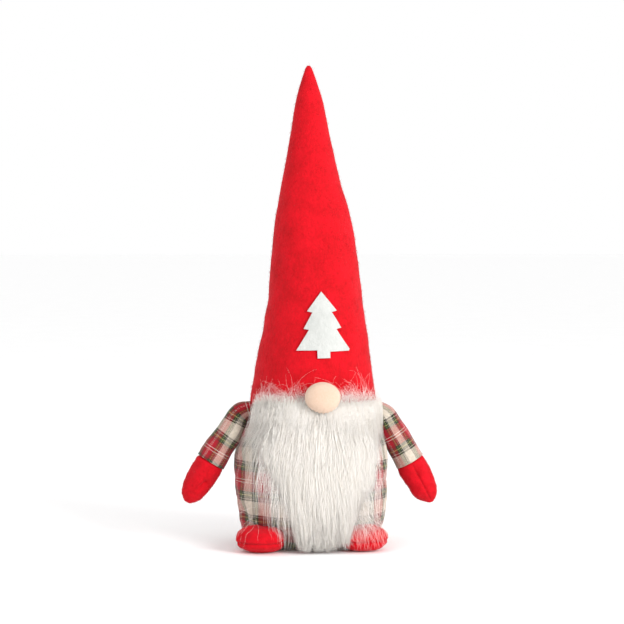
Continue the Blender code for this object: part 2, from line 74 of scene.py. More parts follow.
HAT_OUTLINE = (
    (BRIM_Z, 0.0635), (0.183, 0.0578), (0.219, 0.0520), (0.247, 0.0475), (0.285, 0.0430), (0.331, 0.0365),
    (0.363, 0.0292), (0.411, 0.0196), (0.445, 0.0135), (0.466, 0.0072), (0.477, 0.0034),
)
HAT_SWAY = ((BRIM_Z, 0.0020), (0.243, 0.0048), (0.363, 0.0005), (HAT_TOP, -0.0025))
ARM_ANGLE = {"right": math.radians(30.5), "left": math.radians(28)}
ARM_DEPTH_RATIO = 0.9
CUFF = 0.051
FOOT_HALF_WIDTH = 0.0250
FOOT_HALF_DEPTH = 0.0245
FOOT_HEIGHT = 0.0255
FOOT_SEAM_Z = 0.0105
FOOT_SPLAY = {"right": -math.radians(12), "left": math.radians(12)}
FOOT_CENTRE = {"right": Vector((-0.0545, -0.0390, 0.0)), "left": Vector((0.0465, -0.0390, 0.0))}
FOOT_FULLNESS = 0.62
NOSE_CENTRE = Vector((0.0042, BODY_Y - 0.0697, 0.1530))
NOSE_RADII = Vector((0.0175, 0.0110, 0.0150))
TREE_CENTRE = Vector((0.0060, BODY_Y, 0.2230))
TREE_TILT = math.radians(1.5)
TREE_THICKNESS = 0.0018
# The flat tree is cut into cells of this size, as far out as this from its middle.
TREE_CELL = 0.0017
TREE_CUT_TO = 0.034
TREE_HALF = (
    (0.0, 0.0325), (0.0140, 0.0135), (0.0090, 0.0122), (0.0180, -0.0035), (0.0130, -0.0046),
    (0.0255, -0.0245), (0.0060, -0.0245), (0.0060, -0.0325),
)
BEARD_STRAIGHT_BELOW = 0.062
BACKING_EDGE = (
    (0.022, 0.019), (0.040, 0.022), (0.054, 0.030), (0.066, 0.056), (0.098, 0.063),
    (0.112, 0.056), (0.122, 0.041), (0.128, 0.027), (0.131, 0.013),
)

# Heights above the brim for the hat, and below it for the beard, kept in HAT_BLEND and BEARD_BLEND. A piece given
# either is baked in place, and nothing here makes it bend.
HAT_BEND = (0.158, 0.235)
BEARD_BEND = (0.142, 0.116)

# The tartan repeats this far across and along the cloth, and its cream stripe is centred here on the body.
TARTAN_ACROSS = 0.042
TARTAN_ALONG = 0.053
TARTAN_BODY_X = 0.0082
TARTAN_BODY_Z = 0.0425
THREAD = 0.00055

CLOTH_THICKNESS = 0.0012
FELT_THICKNESS = 0.0015
SIMULATED_FRAMES = 18
# The simulated cloth is a little longer than its space, and pressure puffs it out. No point may move further than this.
CLOTH_SETTINGS = {
    "quality": 6, "mass": 0.15, "tension_stiffness": 12, "compression_stiffness": 12, "shear_stiffness": 5,
    "bending_stiffness": 0.35, "vertex_group_mass": "held", "shrink_min": -0.05, "use_pressure": True,
    "uniform_pressure_force": 1.5,
}
FURTHEST_SETTLED = 0.0035
# How near the floor the middle of the body's cloth, and the feet's felt and its fibres, may come.
LOWEST_CLOTH = 0.0002
LOWEST_FELT = 0.0003

PIVOT = {joint["name"]: Vector(joint["pos_m"]) for joint in frame["joints"]}
SIDES = ("right", "left")
SIGN = {"right": -1, "left": 1}


# ---- numbers ----

def curve(points, at):
    """Smooth curve through rising (place, value) points, read at an array of places."""
    places = np.array([place for place, _ in points])
    values = np.array([value for _, value in points])
    slopes = np.diff(values) / np.diff(places)
    tangents = np.concatenate([slopes[:1], (slopes[1:] + slopes[:-1]) / 2, slopes[-1:]])
    at = np.clip(np.asarray(at, float), places[0], places[-1])
    i = np.clip(np.searchsorted(places, at, side="right") - 1, 0, len(places) - 2)
    span = places[i + 1] - places[i]
    t = (at - places[i]) / span
    return (
        values[i] * (1 + 2 * t) * (1 - t) ** 2
        + tangents[i] * span * t * (1 - t) ** 2
        + values[i + 1] * t * t * (3 - 2 * t)
        + tangents[i + 1] * span * t * t * (t - 1)
    )


def at(x, y, z):
    """Points from three coordinates, which may be single numbers or arrays that fit each other."""
    return np.stack(np.broadcast_arrays(x, y, z), axis=-1).astype(float)


def even_places(outline, low, high, count):
    """Places along an outline that are evenly spaced on the curve itself."""
    fine = np.linspace(low, high, 400)
    steps = np.hypot(np.diff(fine), np.diff(curve(outline, fine)))
    walked = np.concatenate([[0], np.cumsum(steps)])
    return np.interp(np.linspace(0, walked[-1], count), walked, fine)


def walked_length(points, axis):
    """Distance walked along one axis of a grid of points, from its start."""
    steps = np.linalg.norm(np.diff(points, axis=axis), axis=2)
    start = np.zeros_like(np.take(steps, [0], axis=axis))
    return np.concatenate([start, np.cumsum(steps, axis=axis)], axis=axis)


def lumps(points, size, seed, waves=9):
    """A smooth random field of about -1 to 1 whose bumps are about this size."""
    rng = np.random.default_rng(seed)
    direction = rng.normal(size=(waves, 3))
    direction /= np.linalg.norm(direction, axis=1, keepdims=True)
    wave = direction * (math.pi / size) * rng.uniform(0.6, 1.5, (waves, 1))
    phase = rng.uniform(0, math.tau, waves)
    return np.sin(points @ wave.T + phase).sum(axis=-1) / math.sqrt(waves)


def rising(value, width):
    """0 up to a value of 0, then straight up to 1 at this width."""
    return np.clip(value / width, 0, 1)


def bell(distance, width):
    """A rounded bump that is 1 in its middle and 1 / e at this width from it."""
    return np.exp(-((distance / width) ** 2))


def round_angles(count):
    """Evenly spaced angles all the way round from the back. 0 is the front, and they rise towards +X."""
    return np.linspace(-math.pi, math.pi, count + 1)[:-1]


def half_ring(count, middle):
    """Which of a ring's columns lie within a quarter turn of this angle."""
    first = round((middle + math.pi / 2) / math.tau * count) % count
    return (first + np.arange(count // 2 + 1)) % count


def normals_of_grid(points, wrap):
    """Unit normals of a grid of points. Those of rings face away from their middles."""
    along = np.gradient(points, axis=0)
    if wrap:
        across = (np.roll(points, -1, axis=1) - np.roll(points, 1, axis=1)) / 2
    else:
        across = np.gradient(points, axis=1)
    normal = np.cross(across, along)
    normal /= np.maximum(np.linalg.norm(normal, axis=2, keepdims=True), 1e-12)
    if wrap:
        normal *= np.sign(((points - points.mean(axis=1, keepdims=True)) * normal).sum())
    return normal


def place_points(points, matrix):
    """The points, moved by a matrix."""
    flat = points.reshape(-1, 3) @ np.array(matrix.to_3x3()).T + np.array(matrix.translation)
    return flat.reshape(points.shape)


# ---- meshes ----

def link_object(name, data):
    made = bpy.data.objects.new(name, data)
    bpy.context.scene.collection.objects.link(made)
    return made


def mesh_object(name, vertices, faces, material):
    """An object from arrays. faces is a list of arrays, each with its own number of corners."""
    corners = np.concatenate([part.ravel() for part in faces])
    sizes = np.concatenate([np.full(len(part), part.shape[1]) for part in faces])
    mesh = bpy.data.meshes.new(name)
    mesh.vertices.add(len(vertices))
    mesh.vertices.foreach_set("co", np.asarray(vertices, np.float32).ravel())
    mesh.loops.add(len(corners))
    mesh.loops.foreach_set("vertex_index", corners.astype(np.int32))
    mesh.polygons.add(len(sizes))
    mesh.polygons.foreach_set("loop_start", np.concatenate([[0], np.cumsum(sizes)[:-1]]).astype(np.int32))
    mesh.update(calc_edges=True)
    mesh.shade_smooth()
    mesh.materials.append(material)
    return link_object(name, mesh)


def grid_cells(rows, columns, wrap):
    """The row and column of each cell of a grid of points."""
    return np.meshgrid(np.arange(rows - 1), np.arange(columns if wrap else columns - 1), indexing="ij")


def grid_object(name, points, material, wrap=False, uv=None, close_low=False, close_high=False):
    """A grid of points as a mesh. uv has one more column than the points where the grid wraps."""
    rows, columns = points.shape[:2]
    vertices = points.reshape(-1, 3)
    i, k = grid_cells(rows, columns, wrap)
    near, far, after = i * columns, (i + 1) * columns, (k + 1) % columns
    faces = [np.stack([near + k, near + after, far + after, far + k], axis=-1).reshape(-1, 4)]
    ring = np.arange(columns)
    for closed, row, upward in ((close_low, 0, False), (close_high, rows - 1, True)):
        if closed:
            vertices = np.concatenate([vertices, points[row].mean(axis=0, keepdims=True)])
            pole = np.full(columns, len(vertices) - 1)
            side = (row * columns + ring, row * columns + (ring + 1) % columns)
            faces.append(np.stack([*(side if upward else side[::-1]), pole], axis=-1))
    made = mesh_object(name, vertices, faces, material)
    if uv is not None:
        layer = made.data.uv_layers.new(name="cloth")
        corners = np.stack([uv[i, k], uv[i, k + 1], uv[i + 1, k + 1], uv[i + 1, k]], axis=2)
        flat = np.zeros((len(made.data.loops), 2), np.float32)
        flat[: corners.size // 2] = corners.reshape(-1, 2)
        layer.data.foreach_set("uv", flat.ravel())
    return made


def read_points(mesh, what="co"):
    flat = np.empty(len(mesh.vertices) * 3, np.float32)
    mesh.vertices.foreach_get(what, flat)
    return flat.reshape(-1, 3).astype(float)


def write_points(mesh, points):
    mesh.vertices.foreach_set("co", points.astype(np.float32).ravel())
    mesh.update()


def weld(mesh, cut=None):
    """Makes points that lie together one, as at a pole, makes any cuts, and turns the faces outward."""
    bm = bmesh.new()
    bm.from_mesh(mesh)
    bmesh.ops.remove_doubles(bm, verts=bm.verts, dist=1e-6)
    if cut:
        cut(bm)
    bmesh.ops.recalc_face_normals(bm, faces=bm.faces)
    bm.to_mesh(mesh)
    bm.free()


def add_solidify(thing, thickness):
    wall = thing.modifiers.new("Wall", "SOLIDIFY")
    wall.thickness = thickness
    wall.offset = -1


def add_smoothing(thing):
    smooth = thing.modifiers.new("Smooth", "SUBSURF")
    smooth.levels = 1
    smooth.render_levels = 1


def finish_piece(piece, body, stands_for=()):
    """Hangs a piece on the body it rides on when that body is named by a string, or else bakes its place into its
    points, and hides the part's solids that it stands for.
    """
    if isinstance(body, str):
        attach(piece, body)
    else:
        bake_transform(piece)
    if stands_for:
        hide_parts(*stands_for)


def add_cover(name, points, material, body, node, fill, thickness, poles=False, smooth=False, slot=None, **grid):
    """A cover from a grid of points, with its wall, that stands for one of the part's solids."""
    piece = grid_object(name, points, MATERIALS[material], **grid)
    if poles:
        weld(piece.data)
    if smooth:
        add_smoothing(piece)
    if thickness:
        add_solidify(piece, thickness)
    finish_piece(piece, body, (node,))
    return piece


def settle_cloth(points, held):
    """The rings of points after a cloth simulation that puffs them out and wrinkles them. Held cloth is sewn down."""
    thing = grid_object("settling", points, MATERIALS["stuffing"], wrap=True)
    group = thing.vertex_groups.new(name="held")
    group.add([int(index) for index in np.flatnonzero(held)], 1.0, "REPLACE")
    cloth = thing.modifiers.new("Cloth", "CLOTH")
    for name, value in CLOTH_SETTINGS.items():
        setattr(cloth.settings, name, value)
    cloth.settings.effector_weights.gravity = 0.0
    cloth.collision_settings.use_collision = False
    cloth.collision_settings.use_self_collision = False
    cloth.point_cache.frame_start = 1
    cloth.point_cache.frame_end = SIMULATED_FRAMES
    scene = bpy.context.scene
    for number in range(1, SIMULATED_FRAMES + 1):
        scene.frame_set(number)
    settled = thing.evaluated_get(bpy.context.evaluated_depsgraph_get())
    moved = read_points(settled.data).reshape(points.shape) - points
    bpy.data.objects.remove(thing)
    scene.frame_set(1)
    length = np.linalg.norm(moved, axis=2, keepdims=True)
    return points + moved * np.minimum(1, FURTHEST_SETTLED / np.maximum(length, 1e-9))


# ---- materials ----

def add_node(tree, kind, inputs=None, **settings):
    """A node with its settings and inputs. An input is a value, or the socket that feeds it."""
    made = tree.nodes.new(kind)
    for key, value in settings.items():
        setattr(made, key, value)
    for key, value in (inputs or {}).items():
        if isinstance(value, bpy.types.NodeSocket):
            tree.links.new(value, made.inputs[key])
        else:
            made.inputs[key].default_value = value
    return made


def math_node(tree, operation, *values):
    return add_node(tree, "ShaderNodeMath", dict(enumerate(values)), operation=operation).outputs[0]


def scaled(tree, value, factor, start):
    """start + value * factor"""
    return math_node(tree, "ADD", start, math_node(tree, "MULTIPLY", value, factor))


def place_in(tree, uv_map=None):
    if uv_map:
        return add_node(tree, "ShaderNodeUVMap", uv_map=uv_map).outputs[0]
    return add_node(tree, "ShaderNodeTexCoord").outputs["Object"]


def noise_in(tree, vector, size, detail=3.0, roughness=0.55):
    """Noise of about -1 to 1 round 0.5, whose bumps are about this size."""
    inputs = {"Vector": vector, "Scale": 0.5 / size, "Detail": detail, "Roughness": roughness}
    return add_node(tree, "ShaderNodeTexNoise", inputs).outputs[0]


def stretched(tree, vector, scale):
    return add_node(tree, "ShaderNodeMapping", {"Vector": vector, "Scale": scale}).outputs[0]


def ramp_in(tree, factor, stops, smooth=True):
    """A colour ramp through (place, colour) stops."""
    made = add_node(tree, "ShaderNodeValToRGB", {"Fac": factor})
    ramp = made.color_ramp
    ramp.interpolation = "LINEAR" if smooth else "CONSTANT"
    while len(ramp.elements) < len(stops):
        ramp.elements.new(1.0)
    for element, (place, colour) in zip(ramp.elements, stops):
        element.position = place
        element.color = (*colour, 1.0)
    return made.outputs[0]


def mix_colours(tree, factor, first, second, blend="MIX"):
    inputs = {0: factor, 6: first, 7: second}
    return add_node(tree, "ShaderNodeMix", inputs, data_type="RGBA", blend_type=blend).outputs[2]


def bump_in(tree, height, distance, strength=1.0, before=None):
    inputs = {"Height": height, "Distance": distance, "Strength": strength}
    if before is not None:
        inputs["Normal"] = before
    return add_node(tree, "ShaderNodeBump", inputs).outputs[0]


def new_material(name, build, roughness, sheen=0.0, sheen_roughness=0.5, colour=(1, 1, 1), tint=(1, 1, 1)):
    """A material whose nodes build(tree) makes. build returns sockets, or None, for colour, roughness and normal."""
    material = bpy.data.materials.new(name)
    material.use_nodes = True
    tree = material.node_tree
    shader = tree.nodes["Principled BSDF"]
    for socket, value in {
        "Roughness": roughness, "Specular IOR Level": 0.2, "Sheen Weight": sheen, "Sheen Roughness": sheen_roughness,
        "Sheen Tint": (*tint, 1.0), "Base Color": (*colour, 1.0),
    }.items():
        shader.inputs[socket].default_value = value
    for socket, value in zip(("Base Color", "Roughness", "Normal"), build(tree)):
        if value is not None:
            tree.links.new(value, shader.inputs[socket])
    return material


CREAM = (0.58, 0.51, 0.42)
WHITE_YARN = (0.70, 0.68, 0.62)
BLACK_YARN = (0.020, 0.020, 0.017)
GREEN_YARN = (0.028, 0.050, 0.022)
YELLOW_YARN = (0.46, 0.41, 0.14)
RED_YARN = (0.36, 0.008, 0.018)
# From the middle of the cream stripe to the middle of the red one, as shares of that distance.
TARTAN_STRIPES = (
    (0.00, CREAM), (0.26, BLACK_YARN), (0.325, CREAM), (0.345, BLACK_YARN), (0.40, GREEN_YARN),
    (0.480, YELLOW_YARN), (0.503, GREEN_YARN), (0.585, BLACK_YARN), (0.64, RED_YARN),
    (0.70, BLACK_YARN), (0.72, RED_YARN), (0.935, WHITE_YARN), (0.955, RED_YARN),
)


def stripes_in(tree, place, repeat):
    """The stripe colour at a place, where the stripes mirror at each end of their run."""
    part = math_node(tree, "FRACT", math_node(tree, "DIVIDE", place, repeat))
    distance = math_node(tree, "ABSOLUTE", math_node(tree, "SUBTRACT", part, 0.5))
    share = math_node(tree, "SUBTRACT", 1.0, math_node(tree, "MULTIPLY", distance, 2.0))
    return ramp_in(tree, share, TARTAN_STRIPES, smooth=False)


def build_tartan(tree):
    """Woven stripes both ways: a twill, so the colours of the two sets of threads alternate along diagonals."""
    uv = place_in(tree, "cloth")
    wobble = noise_in(tree, uv, 0.020, 2.0)
    slip = math_node(tree, "MULTIPLY", math_node(tree, "SUBTRACT", wobble, 0.5), 0.0012)
    split = add_node(tree, "ShaderNodeSeparateXYZ", {0: uv})
    colours, counts, ridges = [], [], []
    for place, repeat in zip(split.outputs, (TARTAN_ACROSS, TARTAN_ALONG)):
        colours.append(stripes_in(tree, math_node(tree, "ADD", place, slip), repeat))
        counts.append(math_node(tree, "FLOOR", math_node(tree, "DIVIDE", place, THREAD)))
        ridges.append(math_node(tree, "PINGPONG", place, THREAD / 2))
    warp, weft = colours
    step = math_node(tree, "FLOORED_MODULO", math_node(tree, "ADD", *counts), 4.0)
    over = math_node(tree, "LESS_THAN", step, 1.5)
    woven = mix_colours(tree, over, weft, warp)
    fuzz = noise_in(tree, uv, 0.0016, 4.0, 0.7)
    faded = ramp_in(tree, fuzz, ((0.30, (0.72, 0.72, 0.72)), (0.70, (1.10, 1.10, 1.10))))
    colour = mix_colours(tree, 1.0, woven, faded, "MULTIPLY")
    height = math_node(tree, "MULTIPLY", math_node(tree, "ADD", *ridges), 1 / THREAD)
    normal = bump_in(tree, fuzz, 0.0003, 0.5, bump_in(tree, height, 0.00012, 0.7))
    return colour, scaled(tree, fuzz, 0.2, 0.78), normal


def felt_builder(dark, light, streak=0.0011, blotch=0.0085):
    """Pressed wool: matted fibres that run every way, in soft blotches."""
    def build(tree):
        place = place_in(tree)
        fibres = noise_in(tree, stretched(tree, place, (1.0, 1.0, 0.45)), streak, 5.0, 0.72)
        swirls = add_node(tree, "ShaderNodeTexNoise", {
            "Vector": place, "Scale": 0.5 / 0.0035, "Detail": 4.0, "Distortion": 1.6,
        }).outputs[0]
        blotches = noise_in(tree, place, blotch, 2.0)
        blend = scaled(tree, fibres, 0.55, math_node(tree, "MULTIPLY", blotches, 0.45))
        colour = ramp_in(tree, blend, ((0.34, dark), (0.66, light)))
        normal = bump_in(tree, fibres, 0.0006, 0.7, bump_in(tree, swirls, 0.0011, 0.75))
        return colour, scaled(tree, fibres, 0.15, 0.82), normal
    return build


FUR_TONES = ((0.93, 0.895, 0.845), (0.885, 0.84, 0.775), (0.95, 0.92, 0.88))


def build_fur(tree):
    """Glossier and duller runs along the hairs. The tone is one colour, set by new_material."""
    shine = noise_in(tree, place_in(tree), 0.0030, 2.0)
    return None, scaled(tree, shine, 0.26, 0.42), None


def build_underfur(tree):
    place = place_in(tree)
    pile = noise_in(tree, stretched(tree, place, (1.0, 1.0, 0.10)), 0.0010, 5.0, 0.7)
    colour = ramp_in(tree, pile, ((0.35, (0.80, 0.75, 0.69)), (0.65, (0.93, 0.90, 0.85))))
    return colour, None, bump_in(tree, pile, 0.0015)


STITCH = 0.00085


def build_jersey(tree):
    """Fine knit: rows of small stitches in columns."""
    place = place_in(tree)
    split = add_node(tree, "ShaderNodeSeparateXYZ", {0: place})
    column = math_node(tree, "PINGPONG", split.outputs[0], STITCH / 2)
    slant = math_node(tree, "ADD", split.outputs[2], column)
    row = math_node(tree, "PINGPONG", slant, STITCH / 2)
    knit = math_node(tree, "MULTIPLY", math_node(tree, "ADD", column, row), 1 / STITCH)
    fuzz = noise_in(tree, place, 0.0009, 4.0, 0.7)
    blush = noise_in(tree, place, 0.012, 2.0)
    shade = scaled(tree, fuzz, 0.5, math_node(tree, "MULTIPLY", blush, 0.5))
    colour = ramp_in(tree, shade, ((0.33, (0.56, 0.39, 0.285)), (0.66, (0.63, 0.47, 0.365))))
    normal = bump_in(tree, knit, 0.00018, 0.8)
    return colour, None, bump_in(tree, fuzz, 0.0002, 0.5, normal)


def plain_weave_builder(dark, light, thread):
    def build(tree):
        place = place_in(tree)
        split = add_node(tree, "ShaderNodeSeparateXYZ", {0: place})
        across = math_node(tree, "PINGPONG", math_node(tree, "ADD", split.outputs[0], split.outputs[2]), thread / 2)
        along = math_node(tree, "PINGPONG", math_node(tree, "ADD", split.outputs[1], split.outputs[2]), thread / 2)
        weave = math_node(tree, "MULTIPLY", math_node(tree, "ADD", across, along), 1 / thread)
        slubs = noise_in(tree, place, 0.003, 4.0, 0.7)
        colour = ramp_in(tree, slubs, ((0.35, dark), (0.65, light)))
        return colour, None, bump_in(tree, weave, thread * 0.3, 0.8)
    return build


def fibre_builder(dark, light, size):
    def build(tree):
        place = place_in(tree)
        fibres = noise_in(tree, place, size, 5.0, 0.75)
        return ramp_in(tree, fibres, ((0.35, dark), (0.65, light))), None, bump_in(tree, fibres, size * 0.6)
    return build


def build_floor(tree):
    grain = noise_in(tree, place_in(tree), 0.05, 2.0)
    return ramp_in(tree, grain, ((0.3, (0.975, 0.975, 0.975)), (0.7, (0.99, 0.99, 0.99)))), None, None


def make_materials():
    red = {"sheen": 0.12, "sheen_roughness": 0.45, "tint": (1.0, 0.25, 0.30)}
    kinds = {f"fur_{number + 1}": (build_fur, 0.55, {"sheen": 0.05, "colour": tone})
             for number, tone in enumerate(FUR_TONES)}
    kinds |= {
        "tartan": (build_tartan, 0.88, {"sheen": 0.15}),
        "red_felt": (felt_builder((0.41, 0.0006, 0.004), (0.60, 0.0016, 0.0095)), 0.92, red),
        "mitten_felt": (felt_builder((0.44, 0.0006, 0.005), (0.60, 0.0018, 0.011), 0.0009, 0.006), 0.92, red),
        "white_felt": (felt_builder((0.43, 0.44, 0.42), (0.53, 0.535, 0.515)), 0.95, {"sheen": 0.1}),
        "underfur": (build_underfur, 0.9, {"sheen": 0.1}),
        "jersey": (build_jersey, 0.85, {"sheen": 0.25}),
        "backing": (plain_weave_builder((0.70, 0.67, 0.62), (0.84, 0.82, 0.78), 0.0010), 0.9, {}),
        "base_cloth": (plain_weave_builder((0.64, 0.59, 0.52), (0.80, 0.75, 0.68), 0.0009), 0.9, {}),
        "calico": (plain_weave_builder((0.68, 0.63, 0.54), (0.82, 0.78, 0.70), 0.0007), 0.9, {}),
        "stuffing": (fibre_builder((0.82, 0.82, 0.81), (0.95, 0.95, 0.94), 0.0030), 0.95, {}),
        "card": (fibre_builder((0.44, 0.33, 0.22), (0.58, 0.46, 0.33), 0.0012), 0.85, {}),
        "pellets": (fibre_builder((0.80, 0.80, 0.78), (0.88, 0.88, 0.86), 0.0015), 0.45, {}),
        "floor": (build_floor, 0.9, {}),
    }
    return {name: new_material(name, build, roughness, **more) for name, (build, roughness, more) in kinds.items()}


MATERIALS = make_materials()


# ---- body ----

def pushed_out(points, middle_x, half_width, half_depth, where):
    """The points, with those inside an upright oval tube moved straight out to its wall. where picks who may move."""
    x, y = points[..., 0] - middle_x, points[..., 1] - BODY_Y
    depth = np.sqrt((x / half_width) ** 2 + (y / half_depth) ** 2)
    grow = np.where((depth < 1) & where, 1 / np.maximum(depth, 1e-3), 1.0)
    return at(points[..., 0] + x * (grow - 1), points[..., 1] + y * (grow - 1), points[..., 2])


def body_surface(z, angle, out=0.0):
    """Points on the body. angle is 0 at the front and rises towards +X."""
    half_width = curve(BODY_OUTLINE, z) + out
    half_depth = curve(BODY_OUTLINE, z) * BODY_DEPTH_RATIO + out
    return at(half_width * np.sin(angle), BODY_Y - half_depth * np.cos(angle), z)


def clear_of_body(points, margin):
    """The points, with those inside the body moved out of it."""
    z = points[..., 2]
    half_width = curve(BODY_OUTLINE, z)
    return pushed_out(points, 0.0, half_width + margin, half_width * BODY_DEPTH_RATIO + margin, z < BODY_TOP)


def make_body():
    """Two tartan panels, sewn to each other at the sides and to the base, and puffed out by the stuffing."""
    z = even_places(BODY_OUTLINE, 0.0, BODY_TOP - 0.002, 52)
    angle = round_angles(80)
    height, from_seam = z[:, None], np.abs(np.abs(angle) - math.pi / 2)[None, :]
    points = body_surface(height, angle[None, :])
    seam = bell(from_seam, 0.035)
    soft = lumps(points, 0.028, 11) * 0.0009 + lumps(points, 0.011, 12) * 0.00035
    puckers = np.sin(height * 520) * bell(from_seam, 0.11) * 0.0008
    push = (soft + puckers) * rising(height, 0.012) - seam * 0.0016
    points = points + normals_of_grid(points, True) * push[..., None]
    points = settle_cloth(points, (seam > 0.6) | (height < 0.004) | (height > 0.145))
    points[..., 2] = np.maximum(points[..., 2], LOWEST_CLOTH)
    for side, middle in (("front", 0.0), ("back", math.pi)):
        chosen = half_ring(len(angle), middle)
        grid, centre = points[:, chosen], [len(chosen) // 2]
        across = walked_length(grid, 1)
        across = across - across[:, centre] - TARTAN_BODY_X
        up = walked_length(grid, 0)[:, centre]
        along = np.broadcast_to(up - np.interp(TARTAN_BODY_Z, z, up[:, 0]), across.shape)
        add_cover(f"body_{side}", grid, "tartan", "torso", f"body_{side}_panel", 0.85, CLOTH_THICKNESS, smooth=True,
                  uv=np.stack([across, along], axis=-1))


HAT_BLEND = ("torso", "hat", (0, BODY_Y, HAT_BEND[0]), (0, BODY_Y, HAT_BEND[1]))
BEARD_BLEND = ("torso", "beard", (0, 0, BEARD_BEND[0]), (0, 0, BEARD_BEND[1]))


# ---- fibres ----

FIBRE_ROOT = 0.00006
FIBRE_TIP = 0.00002


def strand_object(name, paths, root_radius, tip_radius, material):
    """One mesh of three-sided strands. paths is strands x points x 3, and each strand ends in a point."""
    count, steps = paths.shape[:2]
    along = np.gradient(paths, axis=1)
    along /= np.maximum(np.linalg.norm(along, axis=2, keepdims=True), 1e-12)
    beside = np.cross(along, np.array([0.31, -0.17, 0.93]))
    beside /= np.maximum(np.linalg.norm(beside, axis=2, keepdims=True), 1e-9)
    above = np.cross(along, beside)
    share = np.linspace(0, 1, steps)[None, :, None]
    radius = root_radius + (tip_radius - root_radius) * share**1.6
    turns = [(math.cos(a), math.sin(a)) for a in (0.0, math.tau / 3, 2 * math.tau / 3)]
    rings = np.stack([paths + (beside * c + above * s) * radius for c, s in turns], axis=2)[:, :-1]
    vertices = np.concatenate([rings.reshape(count, -1, 3), paths[:, -1:]], axis=1)
    each = vertices.shape[1]
    sides = [(k, (k + 1) % 3) for k in range(3)]
    quads = [[low + a, low + b, low + b + 3, low + a + 3] for low in range(0, 3 * (steps - 2), 3) for a, b in sides]
    tris = [[0, 2, 1], *([each - 4 + a, each - 4 + b, each - 1] for a, b in sides)]
    first = (np.arange(count) * each)[:, None, None]
    faces = [(np.array(part)[None] + first).reshape(-1, len(part[0])) for part in (quads, tris)]
    return mesh_object(name, vertices.reshape(-1, 3), faces, material)


def felt_fibres(name, points, count, seed, material, body, length=(0.0018, 0.0042)):
    """Short loose fibres that stand a little off a felt surface, given as rings of points that rise."""
    rng = np.random.default_rng(seed)
    points = np.concatenate([points, points[:, :1]], axis=1)
    normal = normals_of_grid(points, False)
    columns = points.shape[1]
    edges = np.linalg.norm(points[1:, :] - points[:-1, :], axis=2)[:, : columns - 1]
    widths = np.linalg.norm(points[:-1, 1:] - points[:-1, :-1], axis=2)
    share = (edges * widths).ravel()
    cell = rng.choice(len(share), count, p=share / share.sum())
    i, k = cell // (columns - 1), cell % (columns - 1)
    s, t = rng.random((2, count, 1))
    root = (points[i, k] * (1 - s) + points[i + 1, k] * s) * (1 - t)
    root += (points[i, k + 1] * (1 - s) + points[i + 1, k + 1] * s) * t
    up = normal[i, k]
    lie = rng.normal(size=(count, 3))
    lie -= (lie * up).sum(axis=1, keepdims=True) * up
    lie /= np.linalg.norm(lie, axis=1, keepdims=True)
    curl = np.cross(up, lie) * rng.normal(0, 0.5, (count, 1))
    long = rng.uniform(*length, (count, 1))
    lift = rng.uniform(0.10, 0.55, (count, 1))
    path = [
        root - up * 0.0002 + (lie * share + curl * share**2 + up * lift * math.sin(math.pi * share * 0.75)) * long
        for share in (0.0, 0.35, 0.7, 1.0)
    ]
    piece = strand_object(name, np.stack(path, axis=1), FIBRE_ROOT, FIBRE_TIP, MATERIALS[material])
    write_points(piece.data, np.maximum(read_points(piece.data), [-1, -1, LOWEST_FELT]))
    finish_piece(piece, body)


def add_hairs(name, paths, root_radius, tip_radius, tone, body, stands_for=()):
    """One piece of fur in one of its tones."""
    finish_piece(strand_object(name, paths, root_radius, tip_radius, MATERIALS[f"fur_{tone}"]), body, stands_for)


# ---- hat ----

def hat_surface(z, angle, out=0.0):
    half_width = curve(HAT_OUTLINE, z) + out
    centre = curve(HAT_SWAY, z)
    return at(centre + half_width * np.sin(angle), BODY_Y - half_width * HAT_DEPTH_RATIO * np.cos(angle), z)


def hat_softness(points):
    """How far the felt stands out from the plain cone at these points of it."""
    size = np.clip((HAT_TOP - points[..., 2]) / 0.12, 0.12, 1.0)
    soft = lumps(points, 0.045, 21) * 0.0006 + lumps(points, 0.014, 22) * 0.0003
    soft += lumps(points * np.array([1, 1, 0.35]), 0.020, 23) * 0.0005
    return soft * size


def make_hat():
    """A tall felt cone with soft facets, its cut brim and its loose fibres."""
    z = np.append(np.linspace(BRIM_Z, HAT_OUTLINE[-1][0], 120), HAT_TOP - 0.0008)
    points = hat_surface(z[:, None], round_angles(96)[None, :])
    tip = points[-1].mean(axis=0)
    points[-1] = tip + (points[-1] - tip) * 0.45
    points = points + normals_of_grid(points, True) * hat_softness(points)[..., None]
    points[0, :, 2] = BRIM_Z + lumps(points[0], 0.02, 24) * 0.0006
    add_cover("hat_felt", points, "red_felt", HAT_BLEND, "hat_shell", 0.9, FELT_THICKNESS, wrap=True, close_high=True)
    felt_fibres("hat_fibres", points, 9000, 25, "red_felt", HAT_BLEND)


def tree_corners():
    mirrored = [(-x, z) for x, z in reversed(TREE_HALF[1:])]
    turn = Matrix.Rotation(TREE_TILT, 2)
    return [turn @ Vector(corner) for corner in (*TREE_HALF, *mirrored)]


def cut_small(bm):
    """Cuts a flat filled outline into small cells, so that it can follow a curve."""
    for axis in (Vector((1, 0, 0)), Vector((0, 1, 0))):
        for step in np.arange(-TREE_CUT_TO, TREE_CUT_TO, TREE_CELL):
            geometry = [*bm.verts, *bm.edges, *bm.faces]
            bmesh.ops.bisect_plane(bm, geom=geometry, dist=1e-7, plane_co=axis * float(step), plane_no=axis)


